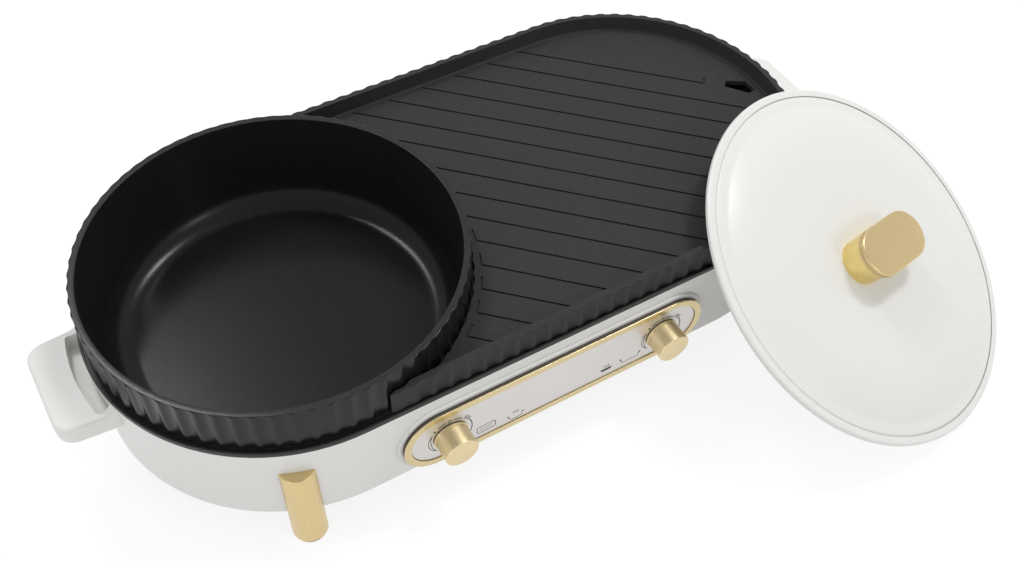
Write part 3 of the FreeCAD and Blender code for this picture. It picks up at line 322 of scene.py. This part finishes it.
WHITE = (0.80, 0.795, 0.775)
LID_WHITE = (0.765, 0.765, 0.745)
PAN_BLACK = (0.012, 0.012, 0.0122)
GRILL_BLACK = (0.036, 0.0383, 0.0398)
DECK_BLACK = (0.026, 0.026, 0.0248)
GOLD = (0.70, 0.545, 0.29)
PALE_GOLD = (0.69, 0.57, 0.33)
KNOB_GOLD = (0.80, 0.67, 0.41)
LEG_GOLD = (0.73, 0.565, 0.285)
NECK_GOLD = (0.90, 0.71, 0.29)
STEEL = (0.62, 0.62, 0.61)

SLOT_MATERIALS = {
    "casing": plastic("casing_white", WHITE, 0.36),
    "lid_enamel": plastic("lid_white", LID_WHITE, 0.30, grain=500.0, depth=0.000001, vary=0.012, level=0.35),
    # the pot's coating is painted paler just below its rim top, a painted highlight
    "pan_coating": coating("pan_coating_black", PAN_BLACK, 0.22, level=0.18, depth=0.00006, grain=700.0,
                           rim_top=POT_TOP / 1000),
    "deck": coating("deck_black", DECK_BLACK, 0.40, level=0.30, speckle=0.15),
    "gold": metal("gold_satin", GOLD, 0.30),
    "panel": metal("panel_silver", (0.70, 0.68, 0.66), 0.45, vary=0.03),
    "bright_steel": metal("bright_steel", STEEL, 0.28, (60.0, 600.0, 600.0), depth=0.000001, vary=0.03),
    "heater_sheath": metal("heater_sheath", (0.30, 0.29, 0.28), 0.45),
    "bare_metal": metal("bare_metal", (0.55, 0.54, 0.52), 0.38),
    "dark_plastic": plastic("dark_plastic", (0.030, 0.027, 0.024), 0.5),
    "ceramic": plastic("ceramic", (0.70, 0.68, 0.62), 0.55),
    "pad": plastic("rubber_pad", (0.045, 0.045, 0.045), 0.75),
    "screws": metal("zinc_screw", (0.60, 0.60, 0.58), 0.35),
}
GRILL_COATING = coating("grill_coating_black", GRILL_BLACK, 0.5, level=0.12)
GOLD_KNOB = metal("gold_knob_brushed", KNOB_GOLD, 0.42, (900.0, 12.0, 900.0), depth=0.000003, vary=0.08)
GOLD_RING = metal("gold_ring_brushed", PALE_GOLD, 0.30, (16.0, 900.0, 900.0), vary=0.08)
GOLD_LEG = metal("gold_leg_brushed", LEG_GOLD, 0.32, (900.0, 900.0, 10.0), vary=0.07)
GOLD_NECK = metal("gold_neck", NECK_GOLD, 0.30, vary=0.04)
GOLD_GRIP = metal("gold_grip_fine", GOLD, 0.30, (3000.0, 3000.0, 3000.0), depth=0.000001, vary=0.04)
# seat behind the gold ring: its dark brown is painted shade for the gap between the ring and the boss
SEAL_PAINTED_SHADE = plastic("seal_painted_shade", (0.060, 0.048, 0.032), 0.4)
PRINT_GREY = plastic("print_grey", (0.07, 0.065, 0.06), 0.6)


def dress_nodes():
    """Gives every CAD node the material of its own slots."""
    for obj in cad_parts.values():
        for slot in obj.material_slots:
            slot.material = SLOT_MATERIALS[slot.material.name.split(".")[0]]


dress_nodes()

# ---- pot: fluted wall with a soft rim, and a smooth inside --------------------------------------
POT_CREST_R, POT_VALLEY_R, POT_FLUTES = 131.7, 130.7, 70
POT_OUTSIDE_R = POT_CREST_R + 0.2  # clear of the crests, so that the flutes decide the wall
POT_RIM_ROUND, POT_LIP_ROUND, POT_FOOT_CHAMFER = 1.3, 0.6, 0.8
POT_RIM_START = POT_TOP - 1.8
POT_R_IN, POT_R_FLOOR = 126.6, 121.6
POT_FLOOR, POT_FLOOR_ROUND = 64.0, 21.0
POT_BODY_R, POT_BODY_R_LOW, POT_UNDER_ROUND = 126.4, 125.2, 17.0
POT_BOTTOM = POT_LO[2]
POT_CENTRE_X = (POT_LO[0] + POT_HI[0]) / 2
OUTSIDE_HEIGHTS = (110, 120, 130, POT_RIM_START - 0.1)
INSIDE_HEIGHTS = (130, 115, 100)
LIP_AIM, BEND_AIM = (POT_R_FLOOR + 2.0, 80.0, 0), (POT_R_IN - 2.6, 95.0, 0)
FLOOR_FLAT_R = 40.0
CREST_HALF = 0.175  # half a crest's share of the way from one crest to the next
FLUTE_STEPS = (0.0, 0.06, 0.12, 0.18, 0.26, 0.38, 0.5, 0.62, 0.74, 0.82, 0.88, 0.94)


def flute_dip(t):
    """Depth of a flute between two crests, as a share of its deepest: hollow, with rounded crests."""
    t = min(t, 1 - t)
    if t < CREST_HALF:
        return 2 * CREST_HALF * (t / CREST_HALF) ** 2
    return 1 - (1 - 2 * CREST_HALF) * ((0.5 - t) / (0.5 - CREST_HALF)) ** 2


def pot_flute(t):
    """Outside radius of the pot at the share t of the way from one crest to the next."""
    half_angle = math.pi / POT_FLUTES
    middle = POT_CREST_R * math.cos(half_angle)
    chord = middle / math.cos(half_angle * (2 * t - 1))
    return chord - (middle - POT_VALLEY_R) * flute_dip(t)


def pot_inside_r(z):
    """Inside radius of the wall's straight part, which leans in towards the floor."""
    return POT_R_IN - (POT_TOP - z) / (POT_TOP - POT_FLOOR) * (POT_R_IN - POT_R_FLOOR)


def pot_profile(flute_r):
    """Section of the pot, from the middle of its underside round to the middle of its floor.

    Where a list is cut at an end, the corner there only gave the direction of a line.
    """
    foot = [(POT_OUTSIDE_R - POT_FOOT_CHAMFER, DECK_TOP), (POT_OUTSIDE_R, DECK_TOP + POT_FOOT_CHAMFER)]
    outer = foot + [(POT_OUTSIDE_R, z) for z in OUTSIDE_HEIGHTS]
    rim = rounded([(POT_OUTSIDE_R, POT_RIM_START, 0), (POT_OUTSIDE_R, POT_TOP, POT_RIM_ROUND),
                   (POT_R_FLOOR, POT_TOP, 0)], 10)[:-1]
    wall = [(min(r, flute_r), z) for r, z in outer + rim]
    under = rounded([(0, POT_BOTTOM, 0), (POT_BODY_R_LOW, POT_BOTTOM, POT_UNDER_ROUND),
                     (POT_BODY_R, DECK_TOP, 0)], 8)
    lip = rounded([(wall[-1][0], POT_TOP, 0), (POT_R_IN, POT_TOP, POT_LIP_ROUND), LIP_AIM], 4)[1:-1]
    inner_wall = [(pot_inside_r(z), z) for z in INSIDE_HEIGHTS]
    floor = rounded([BEND_AIM, (POT_R_FLOOR, POT_FLOOR, POT_FLOOR_ROUND),
                     (FLOOR_FLAT_R, POT_FLOOR, 0)], 18)[1:]
    return under + wall + lip + inner_wall + floor + [(0, POT_FLOOR)]


def make_pot():
    rings = []
    for i in range(POT_FLUTES):
        for t in FLUTE_STEPS:
            a = 2 * math.pi * (i + t) / POT_FLUTES
            profile = pot_profile(pot_flute(t))
            rings.append([(POT_CENTRE_X + r * math.cos(a), r * math.sin(a), z) for r, z in profile])
    verts, faces = sweep(rings)
    pot = mesh_from("pot_finish", verts, faces, SLOT_MATERIALS["pan_coating"], 32.0)
    finish_piece(pot, "pot", "pot")


make_pot()

# ---- grill plate, deck, casing and handles: their CAD shapes with softer edges ------------------
refined("grill_plate", GRILL_COATING, "grill_plate", width=0.3, segments=2)
refined("deck_frame", SLOT_MATERIALS["deck"], "base", width=0.5, segments=3)
for node_name in ("base_shell", "left_handle", "right_handle"):
    refined(node_name, SLOT_MATERIALS["casing"], "base", width=0.4, segments=3)

# ---- control panel: its shapes are drawn in x and z, and their heights point to the front --------
BEZEL_LO, BEZEL_HI = box_mm("panel_bezel")
RING_BACK, RING_FRONT = -BEZEL_HI[1], -BEZEL_LO[1]
RING_Z = (BEZEL_LO[2] + BEZEL_HI[2]) / 2
RING_HALF = 92.8
RING_R_IN, RING_R_OUT = 21.2, 26.6
SEAL_R_OUT = 26.4
SEAL_BACK = -box_mm("panel_seal")[1][1]
RING_PROFILE = rounded([(RING_R_IN, RING_BACK, 0), (RING_R_IN, RING_FRONT, 0.2),
                        (RING_R_OUT, RING_FRONT, 0.45), (RING_R_OUT, RING_BACK, 0)], 5)
SEAL_PROFILE = [(RING_R_IN, SEAL_BACK), (RING_R_IN, RING_BACK), (SEAL_R_OUT, RING_BACK),
                (SEAL_R_OUT, SEAL_BACK)]


def on_front(centre_x, centre_z):
    """Turns a plan shape to the front: its height points to -Y."""
    return lambda x, y, h: (centre_x + x, -h, centre_z + y)


def make_panel_frame(name, profile, material, node):
    """Stadium-shaped frame round the panel."""
    stations = stadium_stations(RING_HALF, arc_steps=96, line_steps=40)
    verts, faces = sweep(stadium_rings(stations, profile, on_front(0, RING_Z)), closed_profile=True)
    finish_piece(mesh_from(name, verts, faces, material), "base", node)


make_panel_frame("panel_ring", RING_PROFILE, GOLD_RING, "panel_bezel")
# the seat's dark colour is painted shade, seen in the gap above the ring
make_panel_frame("panel_seal_finish", SEAL_PROFILE, SEAL_PAINTED_SHADE, "panel_seal")

# ---- print on the panel ---------------------------------------------------------------------------
KNOB_LO, KNOB_HI = box_mm("knob_left")
KNOB_X, KNOB_Z = 85.0, (KNOB_LO[2] + KNOB_HI[2]) / 2
PANEL_FRONT = -box_mm("panel_plate")[0][1]
PRINT_RAISED, PRINT_SUNK = 0.05, 0.02
DIAL_R = 15.9
DIAL_LINE = 0.8
DIAL_ARCS = ((0.0, 125, 101), (0.0, 81, 55), (0.4, 30, -27))  # added radius, first and last angle
DIAL_TICKS = (47, 40.5, 34)
DIAL_BAR = (138, 132)
ZERO_ANGLE = 91.0
CRESCENT_START, CRESCENT_SWEEP, CRESCENT_STEPS = 150, 76, 14


class PanelPrint:
    """Thin raised marks on the panel plate, gathered into one piece."""

    def __init__(self):
        self.verts = []
        self.faces = []

    def line(self, points, width, closed=False):
        """Adds a strip along (x, z) points."""
        n = len(points)
        front, back = PANEL_FRONT + PRINT_RAISED, PANEL_FRONT - PRINT_SUNK
        first = len(self.verts)
        for i, (x, z) in enumerate(points):
            before = points[i - 1] if i or closed else points[i]
            after = points[(i + 1) % n] if i < n - 1 or closed else points[i]
            along = Vector((after[0] - before[0], after[1] - before[1])).normalized()
            for side, h in ((1, front), (-1, front), (-1, back), (1, back)):
                self.verts.append((x - along.y * side * width / 2, -h, z + along.x * side * width / 2))
        for i in range(n if closed else n - 1):
            a, b = first + 4 * i, first + 4 * ((i + 1) % n)
            for j in range(4):
                k = (j + 1) % 4
                self.faces.append((a + j, a + k, b + k, b + j))
        if not closed:
            last = first + 4 * (n - 1)
            self.faces.append((first, first + 1, first + 2, first + 3))
            self.faces.append((last + 3, last + 2, last + 1, last))

    def finish(self, name):
        piece = mesh_from(name, self.verts, self.faces, PRINT_GREY)
        finish_piece(piece, "base")


def dial_point(x, r, degrees):
    """Point at a radius and angle from the middle of the knob at x."""
    a = math.radians(degrees)
    return (x + r * math.cos(a), KNOB_Z + r * math.sin(a))


def dial_arc(x, r, start, stop, steps=14):
    return [dial_point(x, r, start + (stop - start) * i / steps) for i in range(steps + 1)]


def oval(x, z, rx, rz, steps=18):
    return [(x + rx * math.cos(2 * math.pi * i / steps), z + rz * math.sin(2 * math.pi * i / steps))
            for i in range(steps)]


def dial_marks(name, x):
    """Scale round a knob: arcs, a double crescent for the level, a short bar, a zero and three ticks."""
    marks = PanelPrint()
    for added, start, stop in DIAL_ARCS:
        marks.line(dial_arc(x, DIAL_R + added, start, stop), DIAL_LINE)
    for side in (-1, 1):
        crescent = []
        for i in range(CRESCENT_STEPS + 1):
            bulge = math.sin(math.pi * i / CRESCENT_STEPS)
            angle = CRESCENT_START + CRESCENT_SWEEP * i / CRESCENT_STEPS
            crescent.append(dial_point(x, DIAL_R - 0.2 + side * bulge, angle))
        marks.line(crescent, 0.55)
    marks.line(dial_arc(x, DIAL_R, *DIAL_BAR, 3), 2.0)
    marks.line(oval(*dial_point(x, DIAL_R, ZERO_ANGLE), 1.0, 1.4), 0.6, closed=True)
    for angle in DIAL_TICKS:
        marks.line([dial_point(x, DIAL_R - 0.7, angle), dial_point(x, DIAL_R + 3.0, angle)], DIAL_LINE)
    marks.finish(name)


def steam(marks, x, z):
    """Three short bent lines above a pan."""
    for dx in (-1.7, 0.0, 1.7):
        marks.line([(x + dx, z), (x + dx + 0.4, z + 1.0), (x + dx, z + 2.0)], 0.7)


def box_line(x0, x1, z0, z1, r):
    """Closed rounded rectangle in the panel's plane."""
    middle = (x0 + x1) / 2
    corners = [(middle, z0, 0), (x1, z0, r), (x1, z1, r), (x0, z1, r), (x0, z0, r), (middle, z0, 0)]
    return rounded(corners, 5)[:-1]


def bowl(marks, x0, x1, z0, z1, lean, r):
    """Open bowl: down one leaning side, along the bottom and up the other."""
    corners = [(x0, z1, 0), (x0 + lean, z0, r), (x1 - lean, z0, r), (x1, z1, 0)]
    marks.line(rounded(corners, 5), 0.5)


def panel_icons():
    """Plain signs beside each knob: a grill plate and a steaming pot, then a steaming dish and a pot."""
    marks = PanelPrint()
    marks.line(box_line(-65.0, -50.6, 46.6, 53.6, 1.8), 0.55, closed=True)
    for z in (49.0, 51.2):
        marks.line([(-63.0, z), (-52.6, z)], 0.25)
    bowl(marks, -40.2, -29.4, 44.2, 48.6, 0.8, 1.8)
    for x in (-40.8, -28.8):
        marks.line([(x - 0.9, 48.4), (x + 0.9, 48.4)], 0.9)
    steam(marks, -34.8, 50.6)
    bowl(marks, 51.8, 67.6, 47.4, 51.4, 1.2, 1.6)
    for x in (51.6, 67.8):
        marks.line([(x, 50.2), (x, 52.4)], 1.1)
    marks.line([(35.6, 49.0), (43.4, 49.0)], 2.6)
    marks.line([(34.4, 49.7), (44.6, 49.7)], 0.7)
    steam(marks, 39.5, 52.0)
    marks.finish("panel_icons")


dial_marks("dial_marks_left", -KNOB_X)
dial_marks("dial_marks_right", KNOB_X)
panel_icons()

# ---- knobs: the profile runs from the inner end of the shaft's hole to the middle of the face ---------
KNOB_BORE_R, KNOB_BORE_END = 3.0, 152.5
KNOB_BACK, KNOB_FACE = -KNOB_HI[1], -KNOB_LO[1]
KNOB_R, KNOB_FACE_R = 12.3, 12.15
FLANGE_R, FLANGE_FRONT = 12.9, 141.5
KNOB_PROFILE = rounded([(KNOB_BORE_R, KNOB_BORE_END, 0), (KNOB_BORE_R, KNOB_BACK, 0),
                        (FLANGE_R, KNOB_BACK, 0.3), (FLANGE_R, FLANGE_FRONT, 0.3), (KNOB_R, FLANGE_FRONT, 0),
                        (KNOB_FACE_R, KNOB_FACE, 0.9), (0, KNOB_FACE, 0)], 6)
for side, x in (("left", -KNOB_X), ("right", KNOB_X)):
    knob = lathe("knob_%s_finish" % side, KNOB_PROFILE, on_front(x, KNOB_Z), GOLD_KNOB, 160, 30.0)
    finish_piece(knob, "knob_" + side, "knob_" + side)

# ---- legs -----------------------------------------------------------------------------------------
for node_name in ("leg_front_left", "leg_rear_left", "leg_front_right", "leg_rear_right"):
    refined(node_name, GOLD_LEG, "base", width=0.3, segments=2, angle=40.0)

# ---- lid: radii and heights are about its leaning axis, which goes up through LID_CENTRE -------------
LID_CENTRE = Vector((243.6, -166.5, 77.5))
LID_AZIMUTH, LID_ELEVATION = math.radians(-59.4), math.radians(58.0)
LID_NORMAL = Vector((math.cos(LID_ELEVATION) * math.cos(LID_AZIMUTH),
                     math.cos(LID_ELEVATION) * math.sin(LID_AZIMUTH), math.sin(LID_ELEVATION)))
LID_UPHILL = (Vector((0, 0, 1)) - LID_NORMAL * LID_NORMAL.z).normalized()
LID_ACROSS = LID_UPHILL.cross(LID_NORMAL)

LID_TOP, LID_INSIDE_TOP, LID_HOLE_R = 10.6, 9.0, 2.8
CROWN_R, CROWN_DROP, DOME_STEPS = 86.0, 1.6, 24
DOME_EDGE_R, DOME_EDGE_H = 124.0, 1.3
SKIRT_R_IN, SKIRT_R_OUT, SKIRT_TOP, SKIRT_FOOT = 123.3, 125.3, -0.3, -4.4
LID_R = 139.0
SHOULDER = [(DOME_EDGE_R, DOME_EDGE_H, 0), (127.5, DOME_EDGE_H - 0.15, 2.0), (131.5, 0.55, 1.5),
            (132.9, -0.7, 0)]
RIM_GAP = [(133.9, -1.1, 0), (133.9, -0.2, 0), (133.15, -0.1, 0)]
RIM_ROLL = [(133.1, 0.5, 0.15), (137.8, 0.25, 1.0), (LID_R, -1.0, 0.8), (LID_R, -3.1, 0.3), (138.6, -3.5, 0)]
UNDERSIDE = [(137.2, -3.5, 0), (137.0, -1.8, 0), (SKIRT_R_OUT, -1.8, 0), (SKIRT_R_OUT, SKIRT_FOOT, 0),
             (SKIRT_R_IN, SKIRT_FOOT, 0), (SKIRT_R_IN, SKIRT_TOP, 0)]


def on_lid(x, y, z):
    return tuple(LID_CENTRE + LID_ACROSS * x + LID_UPHILL * y + LID_NORMAL * z)


def dome(top, edge_r, edge_h):
    """Section of the dome from its hole to its edge: a nearly flat crown, then a rounded shoulder."""
    curve = (CROWN_R ** 2 + CROWN_DROP ** 2) / (2 * CROWN_DROP)
    crown = []
    for i in range(DOME_STEPS + 1):
        r = LID_HOLE_R + (CROWN_R - LID_HOLE_R) * i / DOME_STEPS
        crown.append((r, top - curve + math.sqrt(curve ** 2 - r * r)))
    slope = math.asin(CROWN_R / curve)
    down = (math.cos(slope), -math.sin(slope))
    return crown + arc_between(crown[-1], down, (edge_r, edge_h), DOME_STEPS)[1:]


def make_lid():
    rim = rounded(SHOULDER + RIM_GAP + RIM_ROLL + UNDERSIDE, 5)
    inside = dome(LID_INSIDE_TOP, SKIRT_R_IN, SKIRT_TOP)[::-1]
    profile = dome(LID_TOP, DOME_EDGE_R, DOME_EDGE_H) + rim[1:] + inside[1:]
    lid = lathe("lid_shell_finish", profile, on_lid, SLOT_MATERIALS["lid_enamel"], 256, 28.0, closed=True)
    finish_piece(lid, "lid", "lid_shell")


make_lid()

# ---- lid knob: a stadium-shaped cap with a fine groove, on a slimmer neck -----------------------------
GRIP_TURN = math.radians(160.0)
GRIP_HALF = 16.2
CAP_R, CAP_FOOT, CAP_TOP = 18.3, 27.4, 33.4
GROOVE_R, GROOVE_LOW, GROOVE_HIGH = 17.95, 30.1, 30.7
NECK_R, NECK_FOOT = 16.6, 8.6
CAP_PROFILE = rounded([(0, CAP_FOOT, 0), (CAP_R, CAP_FOOT, 0.9), (CAP_R, GROOVE_LOW, 0),
                       (GROOVE_R, GROOVE_LOW, 0), (GROOVE_R, GROOVE_HIGH, 0), (CAP_R, GROOVE_HIGH, 0),
                       (CAP_R, CAP_TOP, 1.1), (0, CAP_TOP, 0)], 6)
NECK_PROFILE = [(0, NECK_FOOT), (NECK_R, NECK_FOOT), (NECK_R, CAP_FOOT), (0, CAP_FOOT)]


def on_grip(x, y, z):
    c, s = math.cos(GRIP_TURN), math.sin(GRIP_TURN)
    return on_lid(x * c - y * s, x * s + y * c, z)


def grip_piece(name, profile, material, node):
    """Stadium-shaped solid whose profile goes from the middle line of its bottom to that of its top."""
    stations = stadium_stations(GRIP_HALF, arc_steps=40, line_steps=16)
    verts, faces = sweep(stadium_rings(stations, profile, on_grip))
    finish_piece(mesh_from(name, verts, faces, material, 30.0), "lid", node)


grip_piece("lid_cap_finish", CAP_PROFILE, GOLD_GRIP, "lid_knob_cap")
grip_piece("lid_neck_finish", NECK_PROFILE, GOLD_NECK, "lid_knob_neck")

# ================================ stage, light and camera ========================================
AMBIENT = 0.65
WALL_LIGHT, CEILING_LIGHT = 0.95, 0.60
CEILING_FADE = (0.1, 1.0)  # height of a ray's direction at which the ceiling starts and is full
FLOOR_HALF = 6.0
FLOOR_GREY, FLOOR_GREY_HIGH = (0.80, 0.80, 0.80), (0.82, 0.82, 0.82)
FLOOR_SEEN, FLOOR_GLOW = (0.20, 0.20, 0.20, 1), 0.85
LENS, SENSOR = 41.3335, 36.0  # the camera was solved from outlines in the photo
CAMERA_AT = (-271.904, -516.981, 725.815)  # appliance millimetres
CAMERA_AHEAD = Vector((0.33511951, 0.54559516, -0.76812814))
CAMERA_UP = Vector((0.38258986, 0.66622582, 0.64013136))
LAMP_TARGET = Vector((0, 0, 0.1))
LAMPS = (  # name, place in metres, width, height and watts
    ("high_right", (0.95, 0.12, 1.90), 0.28, 0.5, 12.5),
    ("high_back", (-0.28, 1.16, 1.80), 0.26, 0.5, 8.0),
    ("front_fill", (0.75, -1.69, 1.3), 0.5, 0.5, 4.0),
    ("low_left", (-1.8, -0.9, 0.45), 0.5, 0.3, 2.5),
)


def add_lamp(name, place, width, height, watts):
    data = bpy.data.lights.new(name, "AREA")
    data.shape = "RECTANGLE"
    data.size = width
    data.size_y = height
    data.energy = watts
    obj = bpy.data.objects.new(name, data)
    obj.location = place
    obj.rotation_euler = (LAMP_TARGET - Vector(place)).to_track_quat("-Z", "Y").to_euler()
    bpy.context.scene.collection.objects.link(obj)


def any_ray(tree, *kinds):
    """Socket that is 1 for the named kinds of ray and 0 for all others."""
    path = tree.nodes.new("ShaderNodeLightPath")
    found = path.outputs[kinds[0]]
    for kind in kinds[1:]:
        either = tree.nodes.new("ShaderNodeMath")
        either.operation = "MAXIMUM"
        tree.links.new(found, either.inputs[0])
        tree.links.new(path.outputs[kind], either.inputs[1])
        found = either.outputs[0]
    return found


def mixed(tree, factor, first, second):
    """Mix of two shaders: the first where factor is 0, the second where it is 1."""
    mix = tree.nodes.new("ShaderNodeMixShader")
    tree.links.new(factor, mix.inputs["Fac"])
    tree.links.new(first.outputs[0], mix.inputs[1])
    tree.links.new(second.outputs[0], mix.inputs[2])
    return mix


def white_background(tree, strength=1.0):
    node = tree.nodes.new("ShaderNodeBackground")
    node.inputs["Color"].default_value = (1, 1, 1, 1)
    node.inputs["Strength"].default_value = strength
    return node


def make_world():
    """White to the camera, even light for soft surfaces, and a darker ceiling for shiny ones."""
    world = bpy.data.worlds.new("studio")
    bpy.context.scene.world = world
    world.use_nodes = True
    tree = world.node_tree
    lit = white_background(tree, AMBIENT)
    mirrored = white_background(tree)
    seen = white_background(tree)
    direction = tree.nodes.new("ShaderNodeSeparateXYZ")
    tree.links.new(tree.nodes.new("ShaderNodeTexCoord").outputs["Generated"], direction.inputs[0])
    ceiling = map_range(tree, direction.outputs["Z"], CEILING_FADE, (WALL_LIGHT, CEILING_LIGHT))
    tree.links.new(ceiling, mirrored.inputs["Strength"])
    light = mixed(tree, any_ray(tree, "Is Glossy Ray"), lit, mirrored)
    surface = mixed(tree, any_ray(tree, "Is Camera Ray", "Is Transmission Ray"), light, seen)
    tree.links.new(surface.outputs[0], tree.nodes["World Output"].inputs["Surface"])


def make_floor():
    """White floor; seen directly or in a mirror it glows a little, so that its shadow stays pale."""
    mesh = bpy.data.meshes.new("floor")
    r = FLOOR_HALF
    mesh.from_pydata([(-r, -r, 0), (r, -r, 0), (r, r, 0), (-r, r, 0)], [], [(0, 1, 2, 3)])
    n = Nodes("floor_white")
    n.use(Base_Color=n.ramp(n.noise(scale=3.0), [(NOISE_LOW, FLOOR_GREY), (NOISE_HIGH, FLOOR_GREY_HIGH)]),
          Roughness=0.9, Specular_IOR_Level=0.1)
    pale = n.add("ShaderNodeBsdfPrincipled", Base_Color=FLOOR_SEEN, Roughness=0.9, Specular_IOR_Level=0.1,
                 Emission_Color=(1, 1, 1, 1), Emission_Strength=FLOOR_GLOW)
    seen = any_ray(n.tree, "Is Camera Ray", "Is Glossy Ray", "Is Transmission Ray")
    surface = mixed(n.tree, seen, n.shader, pale)
    n.tree.links.new(surface.outputs[0], n.tree.nodes["Material Output"].inputs["Surface"])
    mesh.materials.append(n.material)
    obj = bpy.data.objects.new("floor", mesh)
    bpy.context.scene.collection.objects.link(obj)


def make_camera():
    data = bpy.data.cameras.new("camera")
    data.sensor_width = SENSOR
    data.sensor_fit = "HORIZONTAL"
    data.lens = LENS
    data.clip_start, data.clip_end = 0.01, 100.0
    obj = bpy.data.objects.new("camera", data)
    axes = Matrix((CAMERA_AHEAD.cross(CAMERA_UP), CAMERA_UP, -CAMERA_AHEAD)).transposed().to_4x4()
    axes.translation = metres(CAMERA_AT)
    obj.matrix_world = axes
    bpy.context.scene.collection.objects.link(obj)
    bpy.context.scene.camera = obj


make_world()
make_floor()
make_camera()
for lamp in LAMPS:
    add_lamp(*lamp)

bpy.context.scene.view_settings.view_transform = "Standard"
